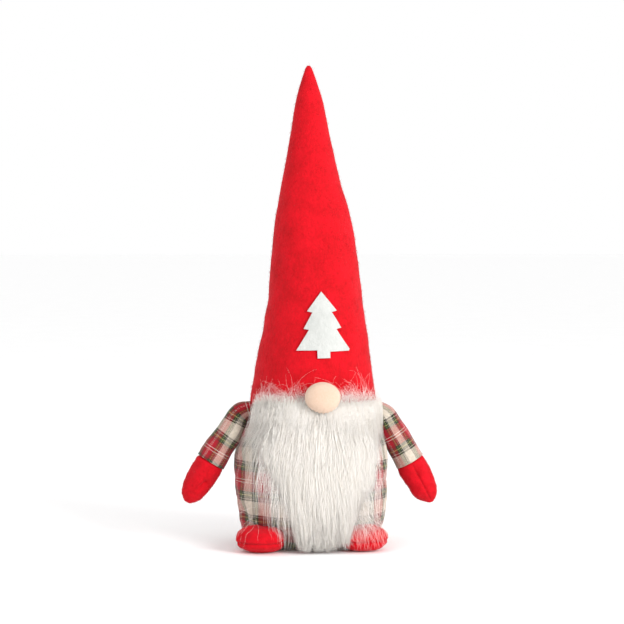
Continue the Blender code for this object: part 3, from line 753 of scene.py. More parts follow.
def make_tree():
    """A fir tree cut from white felt, laid on the hat's curve."""
    corners = tree_corners()
    outline = bpy.data.curves.new("tree_flat", "CURVE")
    outline.dimensions = "2D"
    outline.fill_mode = "BOTH"
    spline = outline.splines.new("POLY")
    spline.points.add(len(corners) - 1)
    for point, corner in zip(spline.points, corners):
        point.co = (corner.x, corner.y, 0.0, 1.0)
    spline.use_cyclic_u = True
    flat = link_object("tree_flat", outline)
    mesh = bpy.data.meshes.new_from_object(flat.evaluated_get(bpy.context.evaluated_depsgraph_get()))
    bpy.data.objects.remove(flat)
    mesh.materials.clear()
    mesh.materials.append(MATERIALS["white_felt"])
    weld(mesh, cut_small)
    points = read_points(mesh)
    x, z = points[:, 0] + TREE_CENTRE.x, points[:, 1] + TREE_CENTRE.z
    across = np.arcsin(np.clip((x - curve(HAT_SWAY, z)) / curve(HAT_OUTLINE, z), -0.95, 0.95))
    placed = hat_surface(z, across)
    raised = TREE_THICKNESS + 0.0004 + hat_softness(placed) + lumps(placed, 0.012, 31) * 0.0002
    placed[:, 0] += raised * np.sin(across)
    placed[:, 1] -= raised * np.cos(across)
    write_points(mesh, placed)
    if mesh.polygons[0].normal.y > 0:
        mesh.flip_normals()
    tree = link_object("tree", mesh)
    add_solidify(tree, TREE_THICKNESS)
    finish_piece(tree, HAT_BLEND, ("tree_applique",))


# ---- arms ----

def arm_matrix(side):
    turn = Matrix.Rotation(-SIGN[side] * ARM_ANGLE[side], 4, "Y")
    return Matrix.Translation(PIVOT[f"{side}_arm_raise"]) @ turn


def tube_round(centres, normals_x, half_width, half_depth, angle):
    """Rings round a centre line that lies in the X-Z plane. angle 0 is the front and rises towards +X."""
    sine, cosine = np.sin(angle)[None, :, None], np.cos(angle)[None, :, None]
    forward = np.array([0.0, -1.0, 0.0])
    return (
        centres[:, None, :]
        + normals_x[:, None, :] * half_width[:, None, None] * sine
        + forward * half_depth[:, None, None] * cosine
    )


# Half widths of the sleeve's cloth along the arm, and how far its middle lies towards the body.
SLEEVE_OUTLINE = ((0.000, 0.0106), (0.012, 0.0121), (0.030, 0.0132), (CUFF, 0.0136))
SLEEVE_INWARD = ((0.000, 0.0019), (0.012, 0.0022), (0.030, 0.0012), (CUFF, 0.0006))
# Where each cap starts, inside the body's side seam.
CAP_START_X = 0.0540
CAP_START_Z = 0.1355
CAP_START_HALF_WIDTH = 0.0074
CAP_ROWS = 12
SLEEVE_ROWS = 34
# Where a cream patch lies on the front of each sleeve: round the arm towards +X, and along it. The sleeve's cloth is
# cut so that its stripes run closer together round the arm.
TARTAN_SLEEVE = {"right": (0.0035, 0.0122), "left": (0.0023, 0.0457)}
SLEEVE_CLOSER = 1.6


def make_sleeve(side):
    """A tartan sleeve from under the hat's brim to the cuff, in two pieces: a cap at the shoulder, and the rest."""
    sign, matrix = SIGN[side], arm_matrix(side)
    pivot = np.array(PIVOT[f"{side}_arm_raise"])
    down = np.array(matrix.to_3x3() @ Vector((0, 0, -1)))
    inward = np.array(matrix.to_3x3() @ Vector((-sign, 0, 0)))
    along = np.linspace(0, CUFF, SLEEVE_ROWS)
    arm = pivot + down * along[:, None] + inward * curve(SLEEVE_INWARD, along)[:, None]
    share = np.linspace(0, 1, CAP_ROWS)[:, None]
    inner = np.array([sign * CAP_START_X, BODY_Y, CAP_START_Z])
    bend = arm[0] - down * 0.0105
    cap = inner * (1 - share) ** 2 + 2 * bend * share * (1 - share) + arm[0] * share**2
    centres = np.concatenate([cap[:-1], arm])
    tangent = np.gradient(centres, axis=0)
    tangent /= np.linalg.norm(tangent, axis=1, keepdims=True)
    beside = at(-tangent[:, 2], 0.0, tangent[:, 0])
    widening = np.linspace(CAP_START_HALF_WIDTH, SLEEVE_OUTLINE[0][1], CAP_ROWS)[:-1]
    half_width = np.append(widening, curve(SLEEVE_OUTLINE, along))
    angle = round_angles(48)
    points = tube_round(centres, beside, half_width, half_width * ARM_DEPTH_RATIO, angle)
    walked = np.concatenate([[0], np.cumsum(np.linalg.norm(np.diff(centres, axis=0), axis=1))])[:, None]
    to_cuff = walked[-1] - walked
    folds = lumps(points, 0.012, 41 + sign) * 0.0005 + lumps(points, 0.005, 43 + sign) * 0.0002
    push = folds * rising(to_cuff, 0.006) + bell(to_cuff, 0.0018) * 0.0004
    points = points + normals_of_grid(points, True) * push[..., None]
    patch = TARTAN_SLEEVE[side]
    around = (np.append(angle, math.pi) * SLEEVE_OUTLINE[2][1] - patch[0]) * SLEEVE_CLOSER
    uv = at(around, walked - walked[CAP_ROWS - 1] - patch[1], 0.0)[..., :2]
    outward = (pivot - inner) / np.linalg.norm(pivot - inner)
    shoulder = f"{side}_shoulder"
    for name, rows, body, node in (
        ("cap", slice(0, CAP_ROWS), ("torso", shoulder, inner, pivot - outward * 0.0085), f"{shoulder}_tab"),
        ("sleeve", slice(CAP_ROWS - 1, None),
         (shoulder, f"{side}_arm", pivot + down * 0.0045, pivot + down * 0.030), f"{side}_sleeve"),
    ):
        add_cover(f"{side}_{name}_cloth", points[rows], "tartan", body, node, 0.8, CLOTH_THICKNESS, wrap=True,
                  uv=uv[rows])


# The two halves of each mitten, and the angle round the arm of each one's middle.
MITTEN_HALVES = {
    "right": (("front", 0.0), ("back", math.pi)),
    "left": (("outer", math.pi / 2), ("inner", -math.pi / 2)),
}
# The felt is fuller at its tip than the plain solid.
MITTEN_OUTLINE = ((CUFF - 0.003, 0.0147), (CUFF, 0.0148), (0.066, 0.0153), (0.078, 0.0143), (0.087, 0.0117),
                  (0.0938, 0.0078), (0.0980, 0.0030))
MITTEN_INWARD = 0.0008
# The right mitten's dimple, which runs down and back under its bump of a thumb: across the arm and along it.
DIMPLE_X, DIMPLE_ALONG, DIMPLE_RUN = 0.0056, 0.0710, 0.010
DIMPLE_DEPTH, DIMPLE_WIDTH = 0.0040, 0.0023
THUMB_X, THUMB_ALONG, THUMB_HEIGHT, THUMB_WIDTH = 0.0064, 0.0610, 0.0015, 0.0050


def mitten_relief(x, along):
    """How far the front of the right mitten stands out."""
    down = rising(along - DIMPLE_ALONG, DIMPLE_RUN)
    crease = np.hypot(x - DIMPLE_X + 0.0028 * down, along - DIMPLE_ALONG - DIMPLE_RUN * down)
    thumb = np.hypot(x - THUMB_X, along - THUMB_ALONG)
    return THUMB_HEIGHT * bell(thumb, THUMB_WIDTH) - DIMPLE_DEPTH * bell(crease, DIMPLE_WIDTH) * (1 - 0.5 * down)


def make_mitten(side):
    """Two felt halves sewn edge to edge, with a rounded tip and a soft dimple."""
    matrix = arm_matrix(side)
    along = even_places(MITTEN_OUTLINE, MITTEN_OUTLINE[0][0], MITTEN_OUTLINE[-1][0], 40)
    angle = round_angles(64)
    half_width = curve(MITTEN_OUTLINE, along) - 0.0003
    half_width[along < CUFF + 0.0005] -= 0.0020
    along, half_width = along[:, None], half_width[:, None]
    turned = (angle - MITTEN_HALVES[side][0][1] + math.pi) % math.tau - math.pi
    from_seam = np.abs(np.abs(turned) - math.pi / 2)
    x = -SIGN[side] * MITTEN_INWARD + half_width * np.sin(angle)
    points = at(x, -half_width * ARM_DEPTH_RATIO * np.cos(angle), -along)
    world = place_points(points, matrix)
    push = lumps(world, 0.013, 51) * 0.0006 + lumps(world, 0.0045, 52) * 0.0002
    push -= 0.0017 * bell(from_seam, 0.11) * rising(half_width, 0.014) ** 2
    if side == "right":
        push += np.where(points[..., 1] < 0, mitten_relief(points[..., 0], along), 0)
    push *= rising(along - CUFF, 0.010)
    points = place_points(points + normals_of_grid(points, True) * push[..., None], matrix)
    tip = points[-1].mean(axis=0)
    for name, middle in MITTEN_HALVES[side]:
        chosen = half_ring(len(angle), middle)
        grid = np.concatenate([points[:, chosen], np.broadcast_to(tip, (1, len(chosen), 3))])
        add_cover(f"{side}_mitten_{name}_felt", grid, "mitten_felt", f"{side}_arm", f"{side}_mitten_{name}", 0.8,
                  FELT_THICKNESS, poles=True, smooth=True, slot="red_felt")
    felt_fibres(f"{side}_mitten_fibres", points[:3:-1], 1500, 53, "mitten_felt", f"{side}_arm", (0.0012, 0.0030))


# ---- feet ----

def foot_matrix(side):
    return Matrix.Translation(FOOT_CENTRE[side]) @ Matrix.Rotation(FOOT_SPLAY[side], 4, "Z")


def make_foot(side):
    """A felt upper and sole with a seam round the foot."""
    climb = np.linspace(-math.pi / 2, math.pi / 2, 33)[1:-1, None]
    size = np.cos(climb) ** FOOT_FULLNESS
    z = FOOT_HEIGHT / 2 * (1 + np.sin(climb))
    angle = round_angles(72)[None, :]
    points = at(FOOT_HALF_WIDTH * size * np.sin(angle), -FOOT_HALF_DEPTH * size * np.cos(angle), z)
    seam_row = int(np.argmin(np.abs(z - FOOT_SEAM_Z)))
    from_seam = z - z[seam_row]
    matrix = foot_matrix(side)
    world = place_points(points, matrix)
    push = lumps(world, 0.014, 61) * 0.0008 + lumps(world, 0.005, 62) * 0.0003 - 0.0004
    push -= 0.0016 * bell(from_seam, 0.0016)
    push += 0.0004 * np.sin(angle * 26) * bell(from_seam, 0.003)
    push *= rising(z, 0.003)
    points = points + normals_of_grid(points, True) * push[..., None]
    points[..., 2] = np.maximum(points[..., 2], LOWEST_FELT)
    points = place_points(points, matrix)
    for name, rows, closed in (("sole", slice(0, seam_row + 1), "close_low"),
                               ("upper", slice(seam_row, None), "close_high")):
        add_cover(f"{side}_foot_{name}_felt", points[rows], "mitten_felt", f"{side}_foot", f"{side}_foot_{name}", 0.8,
                  FELT_THICKNESS, slot="red_felt", wrap=True, **{closed: True})
    felt_fibres(f"{side}_foot_fibres", points[4:], 1300, 63, "mitten_felt", f"{side}_foot", (0.0010, 0.0026))


# ---- nose ----

def make_nose():
    """A jersey ball, gathered at its underside."""
    tilt = np.linspace(0.0, math.pi - math.radians(28), 44)[1:, None]
    angle = round_angles(96)
    unit = at(np.sin(tilt) * np.cos(angle), -np.cos(tilt), np.sin(tilt) * np.sin(angle))
    gather = rising(-unit[..., 2] - 0.25, 0.6) * np.clip(0.9 + unit[..., 1], 0.2, 1)
    across = np.arctan2(unit[..., 0], -unit[..., 2] + 0.25)
    push = np.sin(across * 34 + lumps(unit, 0.6, 71) * 1.2) * 0.00070 * gather
    push += lumps(unit, 0.9, 72) * 0.0004
    points = unit * (np.array(NOSE_RADII) + push[..., None] - 0.0001) + np.array(NOSE_CENTRE)
    add_cover("nose", points, "jersey", "torso", "nose_cover", 0.95, None, poles=True, smooth=True, wrap=True,
              close_low=True)


# ---- beard ----

def beard_round(z, out):
    """Half width and half depth of the ground that the beard lies on: the body, straight below its widest part."""
    half_width = curve(BODY_OUTLINE, np.maximum(z, BEARD_STRAIGHT_BELOW)) + 0.0022
    return half_width + out, half_width * BODY_DEPTH_RATIO + out


def beard_point(z, angle, out):
    half_width, half_depth = beard_round(z, out)
    lean = -0.0040 * (0.1295 - z) / 0.1295
    return at(lean + half_width * np.sin(angle), BODY_Y - half_depth * np.cos(angle), z)


BACKING_THICKNESS = 0.0010
# How far the pile's roots reach past the backing's edge.
BACKING_INSIDE = 0.004
PARTING_X = 0.008
FUR_LOW = 0.018
FUR_TOP = 0.1405
# How far the pile's roots reach to each side at each height.
FUR_REACH = {
    "right": ((FUR_LOW, 0.012), (0.040, 0.014), (0.055, 0.018), (0.070, 0.027), (0.085, 0.036), (0.100, 0.043),
              (0.120, 0.047), (FUR_TOP, 0.050)),
    "left": ((FUR_LOW, 0.017), (0.040, 0.021), (0.055, 0.029), (0.070, 0.040), (0.085, 0.047), (0.100, 0.051),
             (0.120, 0.053), (FUR_TOP, 0.056)),
}
# The beard's silhouette: half widths at heights. A hair ends near it.
FUR_EDGE = {
    "right": ((0.001, 0.0200), (0.023, 0.0255), (0.046, 0.0285), (0.066, 0.0390), (0.096, 0.0545), (0.126, 0.0600)),
    "left": ((0.001, 0.0300), (0.023, 0.0345), (0.046, 0.0425), (0.066, 0.0600), (0.096, 0.0665), (0.126, 0.0700)),
}
# How much more the pile stands off the body near the brim, which it fills out to.
FUR_SHELF = ((0.103, 0.0), (0.115, 0.0008), (0.125, 0.0036), (0.1350, 0.0070), (0.1430, 0.0094))
FUR_LIFT = 0.0068
FUR_THIN = 0.65
FUR_PIECES = 6
HAIRS = 27000
COLLAR_HAIRS = 9000
STRAY_HAIRS = 1100
BEARD_WISPS = 1300
FOOT_WISPS = {"left": 190, "right": 14}
HAIR_STEPS = 7
HAIR_ROOT = 0.00015
HAIR_TIP = 0.00004
WISP_ROOT = 0.00006
WISP_TIP = 0.000025
LOWEST_HAIR = 0.0006
FELT_CLEARANCE = 0.0021
FOOT_CLEARANCE = 0.0012
LOCKS = 520
LOOSE_SHARE = 0.22


def fur_reach(x, z):
    """How far the pile's roots reach at a height, on the side that x is on."""
    return np.where(x < 0, *(curve(FUR_REACH[side], z) for side in SIDES))


def make_backing():
    """The woven ground that the pile is knotted in: one sheet that hangs from the nose and lies on the body."""
    rows, columns = 40, 49
    z = np.linspace(BACKING_EDGE[0][0], BACKING_EDGE[-1][0], rows)[:, None]
    side = np.linspace(-1, 1, columns)[None, :]
    edge = np.minimum(curve(BACKING_EDGE, z), fur_reach(side, z) - BACKING_INSIDE)
    angle = np.arcsin(np.clip(edge / beard_round(z, 0.0)[0], 0, 0.98)) * side
    points = beard_point(z, angle, 0.0)
    points[..., 1] -= lumps(points, 0.018, 81) * 0.0003 + 0.0003
    piece = add_cover("beard_ground", points, "backing", BEARD_BLEND, "beard_backing", None, BACKING_THICKNESS)


def clear_of_feet(points, margin):
    """The points, with those inside a foot moved out of it."""
    middle = np.array([0, 0, FOOT_HEIGHT / 2])
    radii = np.array([FOOT_HALF_WIDTH, FOOT_HALF_DEPTH, FOOT_HEIGHT / 2]) + margin
    for side in SIDES:
        matrix = foot_matrix(side)
        local = place_points(points, matrix.inverted()) - middle
        depth = ((np.abs(local) / radii) ** 2.6).sum(axis=-1, keepdims=True) ** (1 / 2.6)
        local = local * np.where(depth < 1, 1 / np.maximum(depth, 0.2), 1.0)
        points = place_points(local + middle, matrix)
    return points


def clear_of_hat(points, margin):
    """The points, with those inside the hat above its brim moved out of it."""
    z = points[..., 2]
    half_width = curve(HAT_OUTLINE, z) + margin
    return pushed_out(points, curve(HAT_SWAY, z), half_width, half_width * HAT_DEPTH_RATIO, z > BRIM_Z - 0.0005)


def round_body(points):
    """Unit directions out of the body and round it towards +X, at these points."""
    out = np.stack([points[:, 0], (points[:, 1] - BODY_Y) / BODY_DEPTH_RATIO, points[:, 2] * 0], axis=1)
    out /= np.maximum(np.linalg.norm(out, axis=1, keepdims=True), 1e-9)
    return out, np.stack([-out[:, 1], out[:, 0], out[:, 2]], axis=1)


def pile_top(z, x, lift):
    """How far off the body the pile reaches at a height and a distance from the middle."""
    return (lift + curve(FUR_SHELF, z) * np.clip(lift / FUR_LIFT, 0, 1.15)) * (1 - FUR_THIN * (x / 0.070) ** 4)


def lowest_hair(x):
    """How far down the beard reaches at a distance from the middle."""
    depth = [np.interp(np.abs(x), [width for _, width in FUR_EDGE[side]], [z for z, _ in FUR_EDGE[side]])
             for side in SIDES]
    return np.where(x < 0, *depth)


def grow_hairs(root, heading, length, swing, lift, wave, phase, turns, stiff=0.45):
    """Paths of hairs that leave their roots along a heading, bend down under their weight, and lie on what is below.

    swing turns a hair from straight down towards +X, lift holds it off the body, and wave, phase and turns curl it.
    """
    place, path = root, [root]
    early = rising(root[:, 2] - 0.108, 0.020) * 0.6
    for step in range(1, HAIR_STEPS):
        share = step / (HAIR_STEPS - 1)
        out, beside = round_body(place)
        turn = swing * (1 - 0.8 * share)
        curl = wave * np.sin(phase + turns * math.tau * share)
        goal = beside * (np.sin(turn) + curl)[:, None] + out * (wave * np.cos(phase + turns * 5 * share))[:, None] * 0.5
        goal[:, 2] -= np.cos(turn)
        heading = heading * stiff + goal * (1 - stiff)
        heading /= np.maximum(np.linalg.norm(heading, axis=1, keepdims=True), 1e-9)
        place = place + heading * (length / (HAIR_STEPS - 1))[:, None]
        raised = np.clip(early + 0.30 + 0.95 * share, 0, 1) * (1 - 0.18 * max(0.0, share - 0.7) / 0.3)
        place = clear_of_body(place, pile_top(place[:, 2], np.clip(place[:, 0], -0.07, 0.07), lift) * raised + 0.0012)
        place = clear_of_hat(place, FELT_CLEARANCE)
        place = clear_of_feet(place, FOOT_CLEARANCE)
        place[:, 2] = np.maximum(place[:, 2], LOWEST_HAIR)
        path.append(place)
    return np.stack(path, axis=1)


def beard_roots(count, rng):
    """Places on the body's front for hairs: height, angle, and distance from the middle."""
    z, x = np.empty(0), np.empty(0)
    while len(z) < count:
        height = rng.uniform(FUR_LOW, FUR_TOP, count)
        across = rng.uniform(-0.066, 0.066, count)
        reach = fur_reach(across, height) * rng.uniform(0.86, 1.04, count)
        kept = (np.abs(across) < reach) & (height > lowest_hair(across) + 0.006)
        z, x = np.append(z, height[kept]), np.append(x, across[kept])
    z, x = z[:count], x[:count]
    half_width, _ = beard_round(z, 0.0)
    return z, np.arcsin(np.clip(x / half_width, -0.97, 0.97)), x


def comb(z, x):
    """How far a hair is turned from straight down: away from the parting, and most of all near the top."""
    high = rising(z - 0.060, 0.080)
    return np.tanh((x - PARTING_X) / 0.018) * (0.01 + 0.30 * high**1.5) + (x / 0.066) ** 3 * 0.10 * high


def hair_length(z, x, turn, rng):
    """Random lengths of hairs rooted here that stop near the beard's lower edge."""
    length = rng.uniform(0.054, 0.074, len(z))
    room = z - lowest_hair(x + 0.4 * length * np.sin(turn)) + 0.004
    return np.clip(np.minimum(length, room * rng.uniform(0.66, 1.08, len(z))), 0.009, None)


def make_beard():
    """Long pale pile that falls in soft locks."""
    rng = np.random.default_rng(90)
    lock_z, lock_angle, lock_x = beard_roots(LOCKS, rng)
    lock_root = beard_point(lock_z, lock_angle, 0.0006)
    out, _ = round_body(lock_root)
    lock_turn = comb(lock_z, lock_x) + rng.normal(0, 0.09, LOCKS)
    lock = {
        "length": hair_length(lock_z, lock_x, lock_turn, rng), "swing": lock_turn,
        "lift": FUR_LIFT + lumps(lock_root, 0.020, 92) * 0.0010 + rng.normal(0, 0.0006, LOCKS),
        "wave": rng.uniform(0.04, 0.22, LOCKS), "phase": rng.uniform(0, math.tau, LOCKS),
        "turns": rng.uniform(0.5, 1.3, LOCKS),
    }
    lock_path = grow_hairs(lock_root, out * 0.9 + [0, 0, -0.4], **lock)
    z, angle, x = beard_roots(HAIRS, rng)
    root = beard_point(z, angle, 0.0006)
    out, _ = round_body(root)
    nearest = np.argmin(((root[:, None] - lock_root[None]) ** 2).sum(axis=2), axis=1)
    loose = rng.random(HAIRS) < LOOSE_SHARE
    turn = comb(z, x) + rng.normal(0, 0.07, HAIRS) + loose * rng.normal(0, 0.20, HAIRS)
    own = grow_hairs(
        root, out * rng.uniform(0.4, 1.0, (HAIRS, 1)) + [0, 0, -0.4],
        hair_length(z, x, turn, rng), turn,
        lock["lift"][nearest] * rng.uniform(0.25, 1.12, HAIRS) + loose * rng.uniform(0, 0.002, HAIRS),
        lock["wave"][nearest] * rng.uniform(0.6, 1.3, HAIRS) + loose * 0.12,
        lock["phase"][nearest] + rng.normal(0, 0.3, HAIRS), lock["turns"][nearest],
    )
    share = np.linspace(0, 1, HAIR_STEPS)[None, :, None]
    tight = rng.uniform(0.40, 0.84, HAIRS) * (1 - 0.55 * rising(z - 0.085, 0.040))
    pull = np.where(loose, 0.08, tight)[:, None, None] * share**1.4
    guide = lock_path[nearest] + (own[:, :1] - lock_path[nearest][:, :1]) * (1 - share) * 0.6
    paths = own * (1 - pull) + guide * pull
    stop = LOWEST_HAIR + rng.exponential(0.0045, HAIRS)
    room = np.clip((paths[:, 0, 2] - stop) / np.maximum(paths[:, 0, 2] - paths[:, -1, 2], 1e-4), 0.3, 1)
    paths[..., 2] = paths[:, :1, 2] - (paths[:, :1, 2] - paths[..., 2]) * room[:, None]
    paths[..., 2] = np.maximum(paths[..., 2], LOWEST_HAIR)
    beyond = lowest_hair(paths[:, -1, 0]) - paths[:, -1, 2]
    paths = paths[clear_of_nose(paths) & (beyond < 0.003 + rng.exponential(0.0045, HAIRS))]
    which = rng.integers(0, FUR_PIECES, len(paths))
    for number in range(FUR_PIECES):
        add_hairs(f"beard_pile_{number + 1}", paths[which == number], HAIR_ROOT, HAIR_TIP,
                  number % len(FUR_TONES) + 1, BEARD_BLEND, ("beard_fur",))


def make_beard_wisps():
    """Long thin hairs that hang past the beard's lower edges."""
    rng = np.random.default_rng(95)
    on_right = rng.random(BEARD_WISPS) < 0.7
    x = np.where(on_right, -rng.uniform(0.016, 0.052, BEARD_WISPS), rng.uniform(0.036, 0.062, BEARD_WISPS))
    z = rng.uniform(0.055, 0.128, BEARD_WISPS)
    kept = z > lowest_hair(x) + 0.002
    x, z = x[kept], z[kept]
    root = beard_point(z, np.arcsin(x / beard_round(z, 0.0)[0]), 0.0010)
    out, _ = round_body(root)
    paths = grow_hairs(
        root, out * 0.6 + [0, 0, -0.4], rng.uniform(0.034, 0.066, len(z)), comb(z, x) + rng.normal(0, 0.16, len(z)),
        rng.uniform(0.0020, 0.0075, len(z)), rng.uniform(0.05, 0.5, len(z)), rng.uniform(0, math.tau, len(z)),
        rng.uniform(0.5, 1.6, len(z)),
    )
    add_hairs("beard_wisps", paths, WISP_ROOT * 1.6, WISP_TIP, 3, BEARD_BLEND)


def clear_of_nose(paths):
    """Which hairs stay out of the nose."""
    gap = (paths - np.array(NOSE_CENTRE)) / (np.array(NOSE_RADII) + 0.0004)
    return (gap**2).sum(axis=2).min(axis=1) > 1


def make_underfur():
    """The dense short pile under the locks: one streaky solid that lies on the backing."""
    z = np.linspace(FUR_LOW - 0.004, FUR_TOP - 0.002, 64)[:, None]
    side = np.linspace(-1, 1, 81)[None, :]
    half_width, _ = beard_round(z, 0.0)
    angle = np.arcsin(np.clip(fur_reach(side, z) * 0.90 / half_width, 0, 0.96)) * side
    rim = rising(1 - np.abs(side), 0.14) * rising(z - FUR_LOW, 0.020)
    streaks = lumps(beard_point(z, angle, 0.0) * np.array([1, 1, 0.25]), 0.0040, 91) * 0.0008 * rim
    outer = beard_point(z, angle, 0.0014 + 0.0030 * rim + streaks)
    inner = beard_point(z, angle, 0.0009)
    ring = np.concatenate([outer, inner[:, ::-1]], axis=1)
    piece = grid_object("beard_undercoat", ring, MATERIALS["underfur"], wrap=True, close_low=True, close_high=True)
    finish_piece(piece, BEARD_BLEND, ("beard_fur",))


def brim_hairs(count, rng):
    """Hairs from under the brim that come out below its edge, arch up over it, and fall a long way."""
    sine = np.clip(rng.normal(0.04, 0.62, count), -0.93, 0.985)
    sine = np.where(np.abs(sine - 0.03) > 0.92, rng.uniform(-0.89, 0.96, count), sine)
    angle = np.arcsin(sine)[:, None]
    rise = np.minimum(0.0085 + rng.exponential(0.0030, (count, 1)), 0.024) * (1 - 0.10 * sine[:, None])
    turn = comb(np.full((count, 1), 0.138), 0.0635 * sine[:, None]) + rng.normal(0, 0.10, (count, 1))
    fall = rng.uniform(0.012, 0.062, (count, 1)) * (1 - 0.35 * sine[:, None] ** 4)
    reach = rng.uniform(0.0070, 0.0100, (count, 1))
    z = rng.uniform(0.1360, 0.1400, (count, 1))
    share = np.linspace(0, 1, HAIR_STEPS + 3)[None, :]
    weights = ((1 - share) ** 3, 3 * share * (1 - share) ** 2, 3 * share**2 * (1 - share), share**3)
    height = weights[0] * z + weights[1] * (z + rise * 0.15) + weights[2] * (z + rise * 2.0) + weights[3] * (z - fall)
    radius = 0.0600 + weights[1] * reach * 1.1 + weights[2] * reach * 1.25 + weights[3] * reach
    phase, turns = rng.uniform(0, math.tau, (count, 1)), rng.uniform(1.5, 7.0, (count, 1))
    wave = rng.exponential(0.0007, (count, 1))
    aside = np.tan(turn) * (z - height + rise) * share + wave * (np.sin(phase + turns * share) - np.sin(phase))
    around = angle + aside / radius
    paths = at(0.002 + radius * np.sin(around), BODY_Y - radius * HAT_DEPTH_RATIO * np.cos(around), height)
    lift = (FUR_LIFT + rng.uniform(-0.0030, 0.0016, (count, 1))) * np.clip(share * 4, 0, 1)
    paths = clear_of_body(paths, pile_top(height, np.clip(paths[..., 0], -0.07, 0.07), lift))
    paths[:, 2:] = clear_of_hat(paths[:, 2:], FELT_CLEARANCE)
    return paths


def stray_hairs(count, rng):
    """Fine curly hairs that wander over the felt above the brim."""
    sine = rng.uniform(-0.90, 0.96, count)
    z, around = rng.uniform(0.1455, 0.1530, count), np.arcsin(sine)
    heading = rng.normal(0, 0.85, count)
    bend = rng.normal(0, 3.0, count)
    length = np.minimum(0.005 + rng.exponential(0.0075, count), 0.040)
    away = rng.uniform(0.0004, 0.0034, count)
    path, steps = [], HAIR_STEPS + 3
    for step in range(steps):
        share = step / (steps - 1)
        path.append(hat_surface(z, around, FELT_CLEARANCE + away * math.sin(math.pi * (0.15 + 0.8 * share))))
        around = around + np.sin(heading) * length / (steps - 1) / 0.0635
        z = z + np.cos(heading) * length / (steps - 1)
        heading = heading + bend / (steps - 1)
    return np.stack(path, axis=1)


def make_collar():
    """The pile's top edge over the brim, and the fine curly hairs that stray over the felt."""
    rng = np.random.default_rng(101)
    paths = brim_hairs(COLLAR_HAIRS, rng)
    paths = paths[clear_of_nose(paths)]
    each = len(paths) // 3
    for number in range(3):
        add_hairs(f"beard_collar_{number + 1}", paths[number * each:(number + 1) * each], HAIR_ROOT, HAIR_TIP,
                  number + 1, BEARD_BLEND, ("beard_fur",))
    strays = stray_hairs(STRAY_HAIRS, rng)
    add_hairs("brim_wisps", strays[clear_of_nose(strays)], WISP_ROOT, WISP_TIP, 3, HAT_BLEND)


def make_foot_wisps():
    """Thin curly hairs that stray over the feet, most of them over the left one."""
    rng = np.random.default_rng(131)
    for side, count in FOOT_WISPS.items():
        centre = np.array(FOOT_CENTRE[side])
        x = centre[0] + rng.normal(0.0, 0.011, count) - np.sign(centre[0]) * 0.004
        z = rng.uniform(0.030, 0.046, count)
        half_width, _ = beard_round(z, 0.0)
        root = beard_point(z, np.arcsin(np.clip(x / half_width, -0.9, 0.9)), 0.004)
        out, beside = round_body(root)
        heading = out * rng.uniform(0.6, 1.3, (count, 1)) + beside * rng.normal(0, 0.5, (count, 1))
        paths = grow_hairs(
            root, heading, rng.uniform(0.026, 0.052, count), rng.normal(0, 0.5, count),
            rng.uniform(0.003, 0.010, count), rng.uniform(0.8, 2.4, count), rng.uniform(0, math.tau, count),
            rng.uniform(0.8, 2.2, count), stiff=0.7,
        )
        add_hairs(f"{side}_foot_wisps", paths, WISP_ROOT, WISP_TIP, 1, "beard")


# ---- what is inside ----

def make_filling(node, material, body, size, depth, least=0.35):
    """A lumpy stuffed form in the place of a plain solid inside the figure."""
    source = frame["nodes"][node]
    piece = link_object(f"{node}_filling", source.data.copy())
    piece.matrix_world = source.matrix_world.copy()
    mesh = piece.data
    mesh.materials.clear()
    mesh.materials.append(MATERIALS[material])
    weld(mesh)
    mesh.shade_smooth()
    points = read_points(mesh)
    inward = np.maximum(0.6 + 0.4 * lumps(points, size, 110), least) * depth
    write_points(mesh, points - read_points(mesh, "normal") * inward[:, None])
    finish_piece(piece, body, (node,))


BEAD_RADIUS = 0.0024


def make_pellets():
    """Loose plastic beads that fill the lower part of the weight bag."""
    low, high = (np.array(corner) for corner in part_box("ballast_pellets"))
    middle, half = (low + high) / 2, (high - low) / 2
    spacing = BEAD_RADIUS * 2.02
    rng = np.random.default_rng(120)
    counts = np.floor((high - low) / spacing).astype(int)
    lattice = np.stack(np.meshgrid(*[np.arange(n) for n in counts], indexing="ij"), axis=-1).reshape(-1, 3)
    centres = low + BEAD_RADIUS + lattice * spacing + rng.normal(0, 0.00001, lattice.shape)
    centres = centres[(((centres - middle) / (half - BEAD_RADIUS)) ** 2).sum(axis=1) < 1]
    bead = bpy.data.meshes.new("bead")
    bm = bmesh.new()
    bmesh.ops.create_icosphere(bm, subdivisions=1, radius=BEAD_RADIUS)
    bm.to_mesh(bead)
    bm.free()
    ball = read_points(bead)
    faces = np.array([polygon.vertices[:] for polygon in bead.polygons])
    vertices = (centres[:, None] + ball[None]).reshape(-1, 3)
    each = (np.arange(len(centres)) * len(ball))[:, None, None]
    piece = mesh_object("pellets", vertices, [(faces[None] + each).reshape(-1, 3)], MATERIALS["pellets"])
    finish_piece(piece, "torso", ("ballast_pellets",))


def dress_base():
    """The base cloth and its card keep their own solids and take their finishes."""
    for node, material in (("base_panel", "base_cloth"), ("base_board", "card")):
        thing = frame["nodes"][node]
        thing.data.materials.clear()
        thing.data.materials.append(MATERIALS[material])


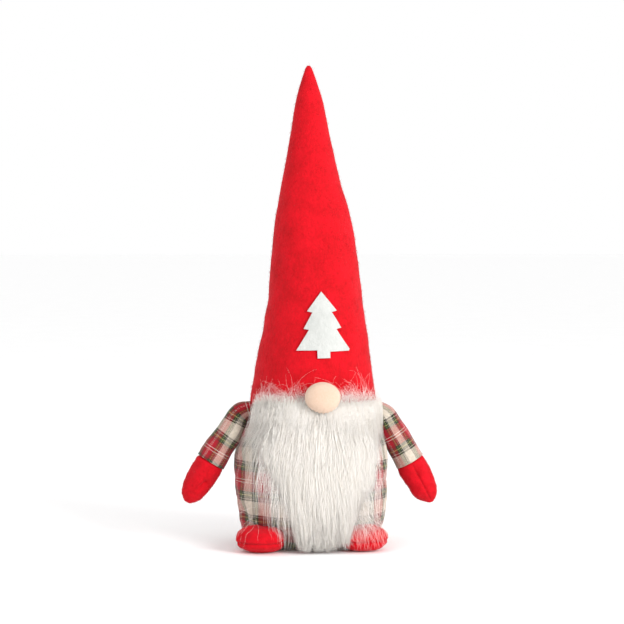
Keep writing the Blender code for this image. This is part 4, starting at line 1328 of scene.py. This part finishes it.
def make_inside():
    make_filling("body_stuffing", "stuffing", "torso", 0.016, 0.0070)
    make_filling("hat_stuffing", "stuffing", HAT_BLEND, 0.014, 0.0018)
    make_filling("ballast_bag", "calico", "torso", 0.014, 0.0005)
    make_filling("nose_core", "stuffing", "torso", 0.008, 0.0006)
    for side in SIDES:
        make_filling(f"{side}_arm_stuffing", "stuffing", f"{side}_arm", 0.008, 0.0085, 0.75)
        make_filling(f"{side}_foot_stuffing", "stuffing", f"{side}_foot", 0.008, 0.0010)
    make_pellets()


# ---- camera, lights and floor ----

CAMERA_AT = (-0.209, -1.980, 0.3200)
CAMERA_AIM = (0.0, 0.0, 0.2338)
FOCAL_LENGTH = 115
LIGHT_AIM = (0, 0, 0.2)
# Where each light is, its size and its power.
LIGHTS = {"key": ((1.20, -1.55, 0.75), 0.9, 34), "fill": ((-1.2, -1.6, 0.5), 1.4, 5)}
FLOOR_REACH = 20.0


def aim(thing, place, target):
    thing.location = place
    thing.rotation_euler = (Vector(target) - Vector(place)).to_track_quat("-Z", "Y").to_euler()


def add_light(name, place, size, power):
    data = bpy.data.lights.new(name, "AREA")
    data.shape = "DISK"
    data.size = size
    data.energy = power
    aim(link_object(name, data), place, LIGHT_AIM)


def make_studio():
    scene = bpy.context.scene
    lens = bpy.data.cameras.new("camera")
    lens.lens = FOCAL_LENGTH
    lens.sensor_width = 36
    lens.clip_start = 0.05
    scene.camera = link_object("camera", lens)
    aim(scene.camera, CAMERA_AT, CAMERA_AIM)
    ends = (-FLOOR_REACH, FLOOR_REACH)
    floor = grid_object("floor", np.array([[[x, y, 0.0] for x in ends] for y in ends]), MATERIALS["floor"])
    world = bpy.data.worlds.new("studio")
    world.use_nodes = True
    background = world.node_tree.nodes["Background"]
    background.inputs[0].default_value = (1.0, 1.0, 1.0, 1.0)
    background.inputs[1].default_value = 1.0
    scene.world = world
    scene.view_settings.view_transform = "Standard"
    for name, settings in LIGHTS.items():
        add_light(name, *settings)


make_studio()
dress_base()
make_inside()
make_body()
make_hat()
make_tree()
make_nose()
for side in SIDES:
    make_sleeve(side)
    make_mitten(side)
    make_foot(side)
make_backing()
make_underfur()
make_beard()
make_beard_wisps()
make_collar()
make_foot_wisps()
